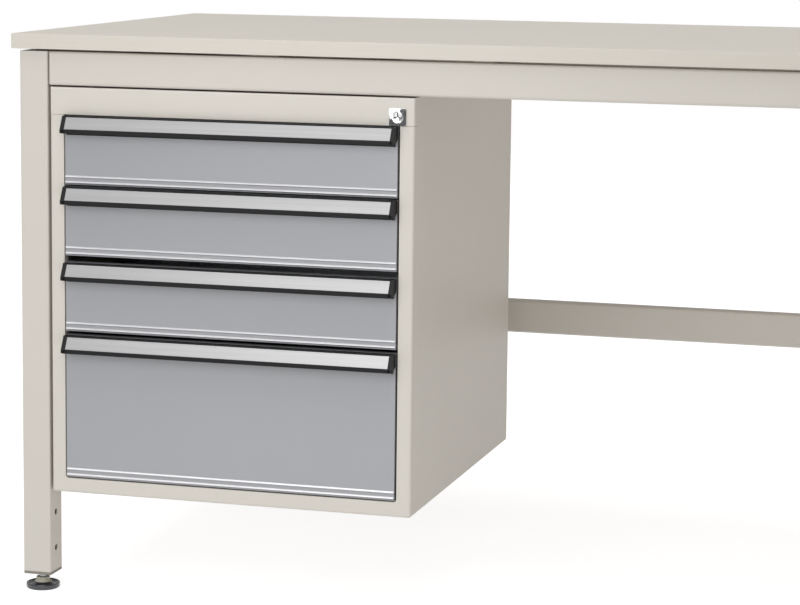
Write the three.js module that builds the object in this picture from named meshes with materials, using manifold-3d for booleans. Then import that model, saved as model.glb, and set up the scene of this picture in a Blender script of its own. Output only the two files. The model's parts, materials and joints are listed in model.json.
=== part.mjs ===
// Steel-framed workbench with a hanging four-drawer cabinet.
//
// Millimetres, +Z up. The origin lies on the floor, under the middle of the bench. X runs along the
// bench from its left end, Y runs from the front, where the drawers open, to the back.

import * as THREE from 'three';
import { mergeVertices } from 'three/addons/utils/BufferGeometryUtils.js';
import Module from 'manifold-3d';

const wasm = await Module();
wasm.setup();

// ---------------------------------------------------------------- driving dimensions

// Whole bench
const BENCH_LENGTH = 1500;
const BENCH_DEPTH = 700;
const BENCH_HEIGHT = 760;

// Worktop board
const WORKTOP_THICKNESS = 20;
const WORKTOP_END_OVERHANG = 10;
const WORKTOP_FRONT_OVERHANG = 6;
const PACKING_THICKNESS = 3;
const PACKING_WIDTH = 20;
const PACKING_END_SETBACK = 20;

// Legs: square tube
const LEG_SIZE = 40;
const LEG_WALL = 2;
const LEG_CORNER_RADIUS = 2.5;
const LEG_HOLE_RADIUS = 4.5;
const LEG_HOLE_HEIGHTS = [57, 107];
const LEG_HOLE_SIDES = 16;

// Plastic cap in the bottom of each leg
const CAP_FLANGE = 4;
const CAP_PLUG_LENGTH = 20;
const CAP_PLUG_CLEARANCE = 0.3;

// Levelling foot: pad, collar and threaded stem
const FOOT_GROUND_GAP = 22;
const FOOT_PAD_RADIUS = 23;
const FOOT_PAD_RIM = 5.5;
const FOOT_PAD_CROWN = 10;
const FOOT_CROWN_RADIUS = 9.5;
const FOOT_COLLAR_RADIUS = 8.5;
const FOOT_COLLAR_TOP = 17;
const FOOT_STEM_RADIUS = 5;
const FOOT_STEM_LENGTH = 75;
const FOOT_STEM_CLEARANCE = 0.3;
const FOOT_CHAMFER = 1;
const FOOT_SIDES = 24;

// Folded sheet frame rails
const RAIL_HEIGHT = 45;
const RAIL_FLANGE = 25;
const RAIL_SHEET = 1.6;
const RAIL_BEND_RADIUS = 4;
const APRON_END_GAP = 3;
const APRON_END_PLATE = 3;
const APRON_END_PLATE_SETBACK = 6;
const STRETCHER_HEIGHT = 50;
const STRETCHER_FLANGE = 20;
const STRETCHER_UNDERSIDE = 284;
const STRETCHER_SETBACK = 2;

// Rails across the frame that the cabinet hangs from
const HANGER_WIDTH = 40;
const HANGER_HEIGHT = 40;
const HANGER_INSET = 60;

// Cabinet shell
const CABINET_WIDTH = 505;
const CABINET_DEPTH = 530;
const CABINET_SHEET = 1.2;
const CABINET_BEND_RADIUS = 3.5;
const CABINET_LEG_GAP = 3.5;
const CABINET_APRON_GAP = 2;
const CABINET_SEAM = 0.3;
const SIDE_RIM = 19.5;
const BOTTOM_RIM = 20;
const RIM_RETURN = 14;
const FASCIA_HEIGHT = 36.5;
const FASCIA_RETURN = 16;

// Drawers from the top one down: height of the front, and the gap above it
const DRAWERS = [
  { height: 93, gapAbove: 1 },
  { height: 93.5, gapAbove: 2 },
  { height: 93.5, gapAbove: 9 },
  { height: 195, gapAbove: 5 },
];
const BOTTOM_DRAWER_GAP = 1.5;
const FRONT_GAP_LEFT = 1;
const FRONT_GAP_RIGHT = 3;
const FRONT_RECESS = 1;
const FRONT_SHEET = 1.2;
const FRONT_PAN_DEPTH = 14;
const FRONT_BEND_RADIUS = 1.6;
const FRONT_RIDGE_HEIGHT = 9;
const FRONT_RIDGE_WIDTH = 3;
const FRONT_RIDGE_PROUD = 1.2;
const FRONT_LIP_WIDTH = 3;
const FRONT_LIP_PROUD = 2;

// Drawer trays
const TRAY_SHEET = 1.2;
const TRAY_LENGTH = 465;
const TRAY_SIDE_ROOM = 13;
const TRAY_FLOOR_RAISE = 6;
const TRAY_TOP_DROP = 24;

// Slides: a fixed channel on the cabinet wall and a rail on the tray that runs in it
const RUNNER_HEIGHT = 24;
const RUNNER_SHEET = 1.2;
const RUNNER_LENGTH = 430;
const RUNNER_FRONT_SETBACK = 40;
const RUNNER_TRAY_GAP = 1.5;
const RUNNER_PLAY = 0.6;
const RUNNER_RAISE = 4;
const RAIL_OPENING_GAP = 1.5;

// Handle: plastic grip with an aluminium strip let into its sloping face
const HANDLE_DEPTH_TOP = 9.5;
const HANDLE_SLOPE_OUT = 8.3;
const HANDLE_SLOPE_DOWN = 15.4;
const HANDLE_TOP_BAND = 1.8;
const HANDLE_STRIP_THICKNESS = 1.5;
const HANDLE_WALL = 2;
const HANDLE_LIP_DROP = 5.8;
const HANDLE_LIP_PROUD = 0.7;
const HANDLE_LIP_DEPTH = 3;
const HANDLE_FLANGE = 2.5;
const HANDLE_FLANGE_DROP = 26;
const HANDLE_END_CAP = 4;
const HANDLE_CAP_HEEL = 9;
const HANDLE_EDGE_CHAMFER = 0.6;
const HANDLE_LIP_STEP = 1;
const HANDLE_LIP_CHAMFER = 1.3;

// Lock in the right end of the fascia
const LOCK_FROM_RIGHT = 22.5;
const LOCK_BELOW_TOP = 25;
const LOCK_PLATE_SIZE = 23;
const LOCK_PLATE_THICKNESS = 2;
const LOCK_PLATE_RADIUS = 2.5;
const LOCK_HEAD_RADIUS = 7.6;
const LOCK_HEAD_PROUD = 3;
const LOCK_BARREL_RADIUS = 7;
const LOCK_CLEARANCE = 0.3;
const LOCK_BARREL_LENGTH = 22;
const LOCK_CAM_THICKNESS = 2;
const LOCK_CAM_REACH = 13;
const LOCK_CAM_HALF_WIDTH = 5;
const LOCK_SIDES = 32;
const KEYWAY_WIDTH = 1.6;
const KEYWAY_HEIGHT = 7;
const KEYWAY_DEPTH = 6;

// Lock bar: a vertical strip whose lugs drop in front of a tab on each tray
const LOCK_BAR_WIDTH = 10;
const LOCK_BAR_THICKNESS = 3;
const LOCK_BAR_WALL_GAP = 3;
const LOCK_BAR_CAM_GAP = 1;
const LOCK_BAR_TRAVEL = 8;
const LOCK_BAR_TOP_ROOM = 8;
const LOCK_LUG_GAP = 1;
const LOCK_TAB_HEIGHT = 10;
const LOCK_TAB_THICKNESS = 4;
const LOCK_TAB_GAP = 2;
const LOCK_TAB_ABOVE_RAIL = 4;
const LOCK_TAB_OPENING_GAP = 2;

// Steps in a quarter turn of a bend or a rounded corner
const CORNER_STEPS = 4;

// How far a cutting block runs past the face it cuts, or a joined block into its neighbour
const OVERSHOOT = 1;

// ---------------------------------------------------------------- places worked out from the sizes

const HANDLE_REACH = HANDLE_DEPTH_TOP + HANDLE_SLOPE_OUT + HANDLE_LIP_PROUD;
const HANDLE_PAST_WORKTOP = HANDLE_REACH - FRONT_RECESS - WORKTOP_FRONT_OVERHANG;

const LEFT_END = -BENCH_LENGTH / 2;
const RIGHT_END = BENCH_LENGTH / 2;
const WORKTOP_FRONT = -(BENCH_DEPTH - HANDLE_PAST_WORKTOP) / 2;
const WORKTOP_BACK = WORKTOP_FRONT + BENCH_DEPTH;
const WORKTOP_UNDERSIDE = BENCH_HEIGHT - WORKTOP_THICKNESS;

const FRAME_LEFT = LEFT_END + WORKTOP_END_OVERHANG;
const FRAME_RIGHT = RIGHT_END - WORKTOP_END_OVERHANG;
const FRAME_FRONT = WORKTOP_FRONT + WORKTOP_FRONT_OVERHANG;
const FRAME_BACK = WORKTOP_BACK - WORKTOP_FRONT_OVERHANG;
const FRAME_TOP = WORKTOP_UNDERSIDE - PACKING_THICKNESS;
const RAIL_UNDERSIDE = FRAME_TOP - RAIL_HEIGHT;
const LEG_BOTTOM = FOOT_GROUND_GAP + CAP_FLANGE;

const CABINET_LEFT = FRAME_LEFT + LEG_SIZE + CABINET_LEG_GAP;
const CABINET_RIGHT = CABINET_LEFT + CABINET_WIDTH;
const CABINET_FRONT = FRAME_FRONT;
const CABINET_BACK = CABINET_FRONT + CABINET_DEPTH;
const CABINET_TOP = RAIL_UNDERSIDE - CABINET_APRON_GAP;
const OPENING_TOP = CABINET_TOP - FASCIA_HEIGHT;
const OPENING_HEIGHT = DRAWERS.reduce((sum, d) => sum + d.height + d.gapAbove, BOTTOM_DRAWER_GAP);
const OPENING_BOTTOM = OPENING_TOP - OPENING_HEIGHT;
const CABINET_BOTTOM = OPENING_BOTTOM - BOTTOM_RIM;
const OPENING_LEFT = CABINET_LEFT + SIDE_RIM;
const OPENING_RIGHT = CABINET_RIGHT - SIDE_RIM;

const FRONT_LEFT = OPENING_LEFT + FRONT_GAP_LEFT;
const FRONT_RIGHT = OPENING_RIGHT - FRONT_GAP_RIGHT;
const FRONT_FACE = CABINET_FRONT + FRONT_RECESS;
const FRONT_REAR = FRONT_FACE + FRONT_PAN_DEPTH;
const TRAY_LEFT = OPENING_LEFT + TRAY_SIDE_ROOM;
const TRAY_RIGHT = OPENING_RIGHT - TRAY_SIDE_ROOM;
const TRAY_REAR = FRONT_REAR + TRAY_LENGTH;
const RUNNER_FRONT = CABINET_FRONT + RUNNER_FRONT_SETBACK;
const RUNNER_REAR = RUNNER_FRONT + RUNNER_LENGTH;

const LOCK_X = CABINET_RIGHT - LOCK_FROM_RIGHT;
const LOCK_Z = CABINET_TOP - LOCK_BELOW_TOP;
const LOCK_CAM_FRONT = CABINET_FRONT + LOCK_BARREL_LENGTH;
const LOCK_BAR_FRONT = LOCK_CAM_FRONT + LOCK_CAM_THICKNESS + LOCK_BAR_CAM_GAP;
const LOCK_BAR_RIGHT = CABINET_RIGHT - CABINET_SHEET - LOCK_BAR_WALL_GAP;
const LOCK_TAB_FRONT = LOCK_BAR_FRONT + LOCK_BAR_THICKNESS + LOCK_TAB_GAP;

// ---------------------------------------------------------------- finishes

const finish = (color, roughness, metalness) =>
  new THREE.MeshStandardMaterial({ color, roughness, metalness });

const laminate = () => finish(0xcec8bc, 0.45, 0);
const framePaint = () => finish(0xcdc8c0, 0.5, 0);
const drawerPaint = () => finish(0xa5a6aa, 0.45, 0.1);
const plainSteel = () => finish(0xa8a9ab, 0.4, 0.9);
const aluminium = () => finish(0xc9cacc, 0.35, 0.9);
const blackPlastic = () => finish(0x242526, 0.5, 0);
const greyPlastic = () => finish(0x8f8a80, 0.6, 0);
const chrome = () => finish(0xdedfe2, 0.12, 1);
const rubber = () => finish(0x3a3a3a, 0.8, 0);

// ---------------------------------------------------------------- solids and outlines

function toSolid(geometry) {
  const bare = geometry.index ? geometry.clone() : geometry;
  bare.deleteAttribute('normal');
  bare.deleteAttribute('uv');
  const merged = mergeVertices(bare, 1e-4);
  return new wasm.Manifold(new wasm.Mesh({
    numProp: 3,
    vertProperties: new Float32Array(merged.attributes.position.array),
    triVerts: new Uint32Array(merged.index.array),
  }));
}

function toGeometry(solid) {
  const mesh = solid.getMesh();
  const geometry = new THREE.BufferGeometry();
  geometry.setAttribute('position', new THREE.BufferAttribute(mesh.vertProperties, 3));
  geometry.setIndex(new THREE.BufferAttribute(mesh.triVerts, 1));
  geometry.computeVertexNormals();
  return geometry;
}

const join = (...pieces) => pieces.map(toSolid).reduce((whole, piece) => whole.add(piece));
const cut = (solid, ...tools) =>
  tools.map(toSolid).reduce((whole, tool) => whole.subtract(tool), solid);

function block(x0, x1, y0, y1, z0, z1) {
  const geometry = new THREE.BoxGeometry(x1 - x0, y1 - y0, z1 - z0);
  return geometry.translate((x0 + x1) / 2, (y0 + y1) / 2, (z0 + z1) / 2);
}

// Rod along Y, for bores and turned pieces that face the front
function rodAlongY(radius, x, z, y0, y1, sides) {
  const geometry = new THREE.CylinderGeometry(radius, radius, y1 - y0, sides);
  return geometry.translate(x, (y0 + y1) / 2, z);
}

function extrude(shape, depth) {
  return new THREE.ExtrudeGeometry(shape, { depth, bevelEnabled: false });
}

// An outline drawn in (y, z), carried along X
function alongX(shape, x0, x1) {
  const turn = new THREE.Matrix4().set(0, 0, 1, x0, 1, 0, 0, 0, 0, 1, 0, 0, 0, 0, 0, 1);
  return extrude(shape, x1 - x0).applyMatrix4(turn);
}

// An outline drawn in (x, z), carried along Y
function alongY(shape, y0, y1) {
  const turn = new THREE.Matrix4().set(1, 0, 0, 0, 0, 0, -1, y1, 0, 1, 0, 0, 0, 0, 0, 1);
  return extrude(shape, y1 - y0).applyMatrix4(turn);
}

// An outline drawn in (x, y), carried along Z
function alongZ(shape, z0, z1) {
  return extrude(shape, z1 - z0).translate(0, 0, z0);
}

const point = (u, v) => new THREE.Vector2(u, v);

// The given corners with each inner corner rounded to the radius
function roundedPath(corners, radius) {
  const path = [corners[0]];
  for (let i = 1; i < corners.length - 1; i += 1) {
    const before = corners[i - 1].clone().sub(corners[i]).normalize();
    const after = corners[i + 1].clone().sub(corners[i]).normalize();
    const halfAngle = before.angleTo(after) / 2;
    const reach = radius / Math.tan(halfAngle);
    const centre = before.clone().add(after).normalize().multiplyScalar(radius / Math.sin(halfAngle));
    centre.add(corners[i]);
    const first = corners[i].clone().addScaledVector(before, reach).sub(centre);
    const last = corners[i].clone().addScaledVector(after, reach).sub(centre);
    const sweep = Math.atan2(first.cross(last), first.dot(last));
    for (let k = 0; k <= CORNER_STEPS; k += 1) {
      path.push(first.clone().rotateAround(point(0, 0), (sweep * k) / CORNER_STEPS).add(centre));
    }
  }
  path.push(corners[corners.length - 1]);
  return path;
}

// The path moved to its left by the distance, its corners kept sharp
function offsetLeft(corners, distance) {
  const sides = corners.slice(1).map((corner, i) => corner.clone().sub(corners[i]).normalize());
  return corners.map((corner, i) => {
    const before = sides[Math.max(i - 1, 0)];
    const after = sides[Math.min(i, sides.length - 1)];
    const left = point(-before.y - after.y, before.x + after.x);
    const scale = (2 * distance) / left.lengthSq();
    return corner.clone().addScaledVector(left, scale);
  });
}

// Section of a folded sheet: its outer corners in order, with the sheet to the left of the path
function foldedSheet(corners, sheet, bendRadius) {
  const outer = roundedPath(corners, bendRadius);
  const inner = roundedPath(offsetLeft(corners, sheet), bendRadius - sheet);
  return new THREE.Shape([...outer, ...inner.reverse()]);
}

// Section of a channel: a web from low to high, with its two flanges reaching over to flangeEnd
function channel(web, flangeEnd, low, high, sheet, bendRadius) {
  const corners = [point(flangeEnd, high), point(web, high), point(web, low), point(flangeEnd, low)];
  return foldedSheet(flangeEnd > web ? corners : corners.reverse(), sheet, bendRadius);
}

function roundedSquare(size, radius, Outline = THREE.Shape) {
  const half = size / 2;
  const corners = [[half, 0], [half, half], [-half, half], [-half, -half], [half, -half], [half, 0]];
  return new Outline(roundedPath(corners.map(([u, v]) => point(u, v)), radius).slice(0, -1));
}

function circle(radius, sides) {
  const outline = new THREE.Path();
  for (let i = 0; i < sides; i += 1) {
    const angle = (2 * Math.PI * i) / sides;
    const spot = point(radius * Math.cos(angle), radius * Math.sin(angle));
    if (i === 0) outline.moveTo(spot.x, spot.y);
    else outline.lineTo(spot.x, spot.y);
  }
  outline.closePath();
  return outline;
}

// ---------------------------------------------------------------- the assembly

const bench = new THREE.Group();

function addPiece(name, solid, material) {
  const geometry = solid instanceof THREE.BufferGeometry ? solid : toGeometry(solid);
  const mesh = new THREE.Mesh(geometry, material);
  mesh.name = name;
  bench.add(mesh);
  return mesh;
}

// ---------------------------------------------------------------- worktop and frame

function worktop() {
  return block(LEFT_END, RIGHT_END, WORKTOP_FRONT, WORKTOP_BACK, WORKTOP_UNDERSIDE, BENCH_HEIGHT);
}

// A leg stands on its own axis; the holes are in the face that looks along the bench
function leg(inward) {
  const section = roundedSquare(LEG_SIZE, LEG_CORNER_RADIUS);
  const bore = roundedSquare(LEG_SIZE - 2 * LEG_WALL, LEG_CORNER_RADIUS - LEG_WALL, THREE.Path);
  section.holes.push(bore);
  const tube = toSolid(alongZ(section, LEG_BOTTOM, FRAME_TOP));
  const holes = LEG_HOLE_HEIGHTS.map((height) => {
    const drill = new THREE.CylinderGeometry(LEG_HOLE_RADIUS, LEG_HOLE_RADIUS, LEG_SIZE, LEG_HOLE_SIDES);
    return drill.rotateZ(Math.PI / 2).translate((inward * LEG_SIZE) / 2, 0, height);
  });
  return cut(tube, ...holes);
}

function legCap() {
  const stemHole = () => circle(FOOT_STEM_RADIUS + FOOT_STEM_CLEARANCE, FOOT_SIDES);
  const flange = roundedSquare(LEG_SIZE, LEG_CORNER_RADIUS);
  flange.holes.push(stemHole());
  const plugSize = LEG_SIZE - 2 * LEG_WALL - 2 * CAP_PLUG_CLEARANCE;
  const plug = roundedSquare(plugSize, LEG_WALL);
  plug.holes.push(stemHole());
  const plugTop = LEG_BOTTOM + CAP_PLUG_LENGTH;
  return join(
    alongZ(flange, FOOT_GROUND_GAP, LEG_BOTTOM),
    alongZ(plug, LEG_BOTTOM, plugTop),
  );
}

function levellingFoot() {
  const profile = [
    point(0, 0),
    point(FOOT_PAD_RADIUS - FOOT_CHAMFER, 0),
    point(FOOT_PAD_RADIUS, FOOT_CHAMFER),
    point(FOOT_PAD_RADIUS, FOOT_PAD_RIM - FOOT_CHAMFER),
    point(FOOT_PAD_RADIUS - FOOT_CHAMFER, FOOT_PAD_RIM),
    point((FOOT_PAD_RADIUS + FOOT_CROWN_RADIUS) / 2, FOOT_PAD_RIM + FOOT_CHAMFER),
    point(FOOT_CROWN_RADIUS, FOOT_PAD_CROWN),
    point(FOOT_COLLAR_RADIUS, FOOT_PAD_CROWN + FOOT_CHAMFER),
    point(FOOT_COLLAR_RADIUS, FOOT_COLLAR_TOP),
    point(FOOT_STEM_RADIUS, FOOT_COLLAR_TOP),
    point(FOOT_STEM_RADIUS, FOOT_STEM_LENGTH),
    point(0, FOOT_STEM_LENGTH),
  ];
  return new THREE.LatheGeometry(profile, FOOT_SIDES).rotateX(Math.PI / 2);
}

const LEG_CENTRES = [
  { name: 'front_left', x: FRAME_LEFT + LEG_SIZE / 2, y: FRAME_FRONT + LEG_SIZE / 2, inward: 1 },
  { name: 'front_right', x: FRAME_RIGHT - LEG_SIZE / 2, y: FRAME_FRONT + LEG_SIZE / 2, inward: -1 },
  { name: 'rear_left', x: FRAME_LEFT + LEG_SIZE / 2, y: FRAME_BACK - LEG_SIZE / 2, inward: 1 },
  { name: 'rear_right', x: FRAME_RIGHT - LEG_SIZE / 2, y: FRAME_BACK - LEG_SIZE / 2, inward: -1 },
];

function addLegs() {
  for (const { name, x, y, inward } of LEG_CENTRES) {
    addPiece(`leg_${name}`, leg(inward), framePaint()).position.set(x, y, 0);
    addPiece(`leg_cap_${name}`, legCap(), greyPlastic()).position.set(x, y, 0);
    addPiece(`levelling_foot_${name}`, levellingFoot(), blackPlastic()).position.set(x, y, 0);
  }
}

// Long rail between the legs. Its end plates bridge the small gap that it keeps to each leg.
function apron(web, flangeEnd) {
  const legLeft = FRAME_LEFT + LEG_SIZE;
  const legRight = FRAME_RIGHT - LEG_SIZE;
  const section = channel(web, flangeEnd, RAIL_UNDERSIDE, FRAME_TOP, RAIL_SHEET, RAIL_BEND_RADIUS);
  const rail = alongX(section, legLeft + APRON_END_GAP, legRight - APRON_END_GAP);
  const inward = Math.sign(flangeEnd - web);
  const plateY = [web + inward * APRON_END_PLATE_SETBACK, flangeEnd].sort((a, b) => a - b);
  const plateReach = APRON_END_GAP + APRON_END_PLATE;
  const halfSheet = RAIL_SHEET / 2;
  const plate = (x0) =>
    block(x0, x0 + plateReach, ...plateY, RAIL_UNDERSIDE + halfSheet, FRAME_TOP - halfSheet);
  return join(rail, plate(legLeft), plate(legRight - plateReach));
}

function sideRail(outerFace, flangeEnd) {
  const section = channel(outerFace, flangeEnd, RAIL_UNDERSIDE, FRAME_TOP, RAIL_SHEET, RAIL_BEND_RADIUS);
  return alongY(section, FRAME_FRONT + LEG_SIZE, FRAME_BACK - LEG_SIZE);
}

function stretcherSection(web, flangeEnd) {
  const top = STRETCHER_UNDERSIDE + STRETCHER_HEIGHT;
  return channel(web, flangeEnd, STRETCHER_UNDERSIDE, top, RAIL_SHEET, RAIL_BEND_RADIUS);
}

function rearStretcher() {
  const web = FRAME_BACK - LEG_SIZE + STRETCHER_SETBACK;
  const section = stretcherSection(web, web + STRETCHER_FLANGE);
  return alongX(section, FRAME_LEFT + LEG_SIZE, FRAME_RIGHT - LEG_SIZE);
}

function sideStretcher(outerFace, flangeEnd) {
  return alongY(stretcherSection(outerFace, flangeEnd), FRAME_FRONT + LEG_SIZE, FRAME_BACK - LEG_SIZE);
}

function packingStrip(x) {
  return block(
    x - PACKING_WIDTH / 2, x + PACKING_WIDTH / 2,
    FRAME_FRONT + LEG_SIZE + PACKING_END_SETBACK, FRAME_BACK - LEG_SIZE - PACKING_END_SETBACK,
    FRAME_TOP, WORKTOP_UNDERSIDE,
  );
}

function addFrame() {
  const leftWeb = FRAME_LEFT + STRETCHER_SETBACK;
  const rightWeb = FRAME_RIGHT - STRETCHER_SETBACK;
  addPiece('worktop', worktop(), laminate());
  addLegs();
  addPiece('front_apron', apron(FRAME_FRONT, FRAME_FRONT + RAIL_FLANGE), framePaint());
  addPiece('rear_apron', apron(FRAME_BACK, FRAME_BACK - RAIL_FLANGE), framePaint());
  addPiece('side_rail_left', sideRail(FRAME_LEFT, FRAME_LEFT + RAIL_FLANGE), framePaint());
  addPiece('side_rail_right', sideRail(FRAME_RIGHT, FRAME_RIGHT - RAIL_FLANGE), framePaint());
  addPiece('rear_stretcher', rearStretcher(), framePaint());
  addPiece('side_stretcher_left', sideStretcher(leftWeb, leftWeb + STRETCHER_FLANGE), framePaint());
  addPiece('side_stretcher_right', sideStretcher(rightWeb, rightWeb - STRETCHER_FLANGE), framePaint());
  addPiece('packing_strip_left', packingStrip(FRAME_LEFT + LEG_SIZE / 2 - RAIL_BEND_RADIUS), rubber());
  addPiece('packing_strip_right', packingStrip(FRAME_RIGHT - LEG_SIZE / 2 + RAIL_BEND_RADIUS), rubber());
}

// ---------------------------------------------------------------- cabinet shell

// Open channel that crosses the frame above the cabinet and rests on the aprons' lower flanges
function hangerRail(left) {
  const right = left + HANGER_WIDTH;
  const top = CABINET_TOP + HANGER_HEIGHT;
  const corners = [
    point(left, top),
    point(left, CABINET_TOP),
    point(right, CABINET_TOP),
    point(right, top),
  ];
  const section = foldedSheet(corners, RAIL_SHEET, RAIL_BEND_RADIUS);
  const front = FRAME_FRONT + RAIL_BEND_RADIUS + CABINET_SEAM;
  const back = FRAME_BACK - RAIL_BEND_RADIUS - CABINET_SEAM;
  const notchTop = RAIL_UNDERSIDE + RAIL_SHEET + CABINET_SEAM;
  const notchReach = RAIL_FLANGE + CABINET_SEAM;
  const notch = (y0, y1) =>
    block(left - OVERSHOOT, right + OVERSHOOT, y0, y1, CABINET_TOP - OVERSHOOT, notchTop);
  return cut(
    toSolid(alongY(section, front, back)),
    notch(front - OVERSHOOT, FRAME_FRONT + notchReach),
    notch(FRAME_BACK - notchReach, back + OVERSHOOT),
  );
}

// Side wall with the folded rim beside the drawers; the fascia takes the rim's place at the top
function cabinetSide(outerFace, inward) {
  const corners = [
    point(outerFace, CABINET_BACK),
    point(outerFace, CABINET_FRONT),
    point(outerFace + inward * SIDE_RIM, CABINET_FRONT),
    point(outerFace + inward * SIDE_RIM, CABINET_FRONT + RIM_RETURN),
  ];
  const path = inward > 0 ? corners : corners.reverse();
  const section = foldedSheet(path, CABINET_SHEET, CABINET_BEND_RADIUS);
  const rimmed = alongZ(section, CABINET_BOTTOM, OPENING_TOP - CABINET_SEAM);
  const wallX = [outerFace, outerFace + inward * CABINET_SHEET].sort((a, b) => a - b);
  const wallFront = CABINET_FRONT + FASCIA_RETURN + CABINET_SEAM;
  return join(rimmed, block(...wallX, wallFront, CABINET_BACK, CABINET_BOTTOM, CABINET_TOP));
}

function cabinetFascia() {
  const section = foldedSheet([
    point(CABINET_LEFT, CABINET_FRONT + FASCIA_RETURN),
    point(CABINET_LEFT, CABINET_FRONT),
    point(CABINET_RIGHT, CABINET_FRONT),
    point(CABINET_RIGHT, CABINET_FRONT + FASCIA_RETURN),
  ], CABINET_SHEET, CABINET_BEND_RADIUS);
  const ledge = block(
    OPENING_LEFT, OPENING_RIGHT,
    CABINET_FRONT + CABINET_SHEET / 2, CABINET_FRONT + RIM_RETURN,
    OPENING_TOP, OPENING_TOP + CABINET_SHEET,
  );
  const barrelHole = rodAlongY(
    LOCK_BARREL_RADIUS + LOCK_CLEARANCE, LOCK_X, LOCK_Z,
    CABINET_FRONT - OVERSHOOT, CABINET_FRONT + CABINET_SHEET + OVERSHOOT, LOCK_SIDES,
  );
  return cut(join(alongZ(section, OPENING_TOP, CABINET_TOP), ledge), barrelHole);
}

function cabinetBottom() {
  const section = foldedSheet([
    point(CABINET_FRONT + RIM_RETURN, OPENING_BOTTOM),
    point(CABINET_FRONT, OPENING_BOTTOM),
    point(CABINET_FRONT, CABINET_BOTTOM),
    point(CABINET_BACK - CABINET_SHEET, CABINET_BOTTOM),
  ], CABINET_SHEET, CABINET_BEND_RADIUS);
  const floor = block(
    CABINET_LEFT + CABINET_SHEET, CABINET_RIGHT - CABINET_SHEET,
    CABINET_FRONT + RIM_RETURN + CABINET_SEAM, CABINET_BACK - CABINET_SHEET,
    CABINET_BOTTOM, CABINET_BOTTOM + CABINET_SHEET,
  );
  return join(alongX(section, OPENING_LEFT, OPENING_RIGHT), floor);
}

function cabinetTop() {
  return block(
    CABINET_LEFT + CABINET_SHEET, CABINET_RIGHT - CABINET_SHEET,
    CABINET_FRONT + CABINET_BEND_RADIUS, CABINET_BACK - CABINET_SHEET,
    CABINET_TOP - CABINET_SHEET, CABINET_TOP,
  );
}

function cabinetBack() {
  return block(
    CABINET_LEFT + CABINET_SHEET, CABINET_RIGHT - CABINET_SHEET,
    CABINET_BACK - CABINET_SHEET, CABINET_BACK,
    CABINET_BOTTOM, CABINET_TOP,
  );
}

function addCabinet() {
  addPiece('hanger_rail_left', hangerRail(CABINET_LEFT + HANGER_INSET), framePaint());
  addPiece('hanger_rail_right', hangerRail(CABINET_RIGHT - HANGER_INSET - HANGER_WIDTH), framePaint());
  addPiece('cabinet_side_left', cabinetSide(CABINET_LEFT, 1), framePaint());
  addPiece('cabinet_side_right', cabinetSide(CABINET_RIGHT, -1), framePaint());
  addPiece('cabinet_fascia', cabinetFascia(), framePaint());
  addPiece('cabinet_bottom', cabinetBottom(), framePaint());
  addPiece('cabinet_top', cabinetTop(), framePaint());
  addPiece('cabinet_back', cabinetBack(), framePaint());
}

// ---------------------------------------------------------------- drawers and their slides

// Heights of one drawer's pieces, from the top of its front
function drawerHeights(frontTop, frontHeight) {
  const frontBottom = frontTop - frontHeight;
  const trayBottom = frontBottom + TRAY_FLOOR_RAISE;
  const runnerBottom = trayBottom + RUNNER_RAISE;
  const tabBottom = runnerBottom + RUNNER_HEIGHT + LOCK_TAB_ABOVE_RAIL;
  const trayTop = frontTop - TRAY_TOP_DROP;
  return { frontTop, frontBottom, trayBottom, trayTop, runnerBottom, tabBottom };
}

function allDrawerHeights() {
  let top = OPENING_TOP;
  return DRAWERS.map(({ height, gapAbove }) => {
    const heights = drawerHeights(top - gapAbove, height);
    top = heights.frontBottom;
    return heights;
  });
}

// Fixed channel between the cabinet wall and the tray, open towards the tray
function runner(wall, mouth, bottom) {
  const section = channel(wall, mouth, bottom, bottom + RUNNER_HEIGHT, RUNNER_SHEET, FRONT_BEND_RADIUS);
  return alongY(section, RUNNER_FRONT, RUNNER_REAR);
}

// Rail on the tray's side: an open channel that runs inside the fixed one
function trayRail(traySide, outward, bottom) {
  const inset = RUNNER_SHEET + RUNNER_PLAY;
  const web = traySide - outward * TRAY_SHEET;
  const lip = traySide + outward * (TRAY_SIDE_ROOM - RAIL_OPENING_GAP);
  const section = channel(
    web, lip, bottom + inset, bottom + RUNNER_HEIGHT - inset, TRAY_SHEET, FRONT_BEND_RADIUS,
  );
  return alongY(section, RUNNER_FRONT, RUNNER_REAR);
}

function tray({ trayBottom, trayTop, runnerBottom, tabBottom }) {
  const shell = toSolid(block(TRAY_LEFT, TRAY_RIGHT, FRONT_REAR, TRAY_REAR, trayBottom, trayTop));
  const hollow = block(
    TRAY_LEFT + TRAY_SHEET, TRAY_RIGHT - TRAY_SHEET,
    FRONT_REAR + TRAY_SHEET, TRAY_REAR - TRAY_SHEET,
    trayBottom + TRAY_SHEET, trayTop + OVERSHOOT,
  );
  const lockTab = block(
    TRAY_RIGHT - TRAY_SHEET / 2, OPENING_RIGHT - LOCK_TAB_OPENING_GAP,
    LOCK_TAB_FRONT, LOCK_TAB_FRONT + LOCK_TAB_THICKNESS,
    tabBottom, tabBottom + LOCK_TAB_HEIGHT,
  );
  return cut(shell, hollow)
    .add(toSolid(trayRail(TRAY_LEFT, -1, runnerBottom)))
    .add(toSolid(trayRail(TRAY_RIGHT, 1, runnerBottom)))
    .add(toSolid(lockTab));
}

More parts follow.
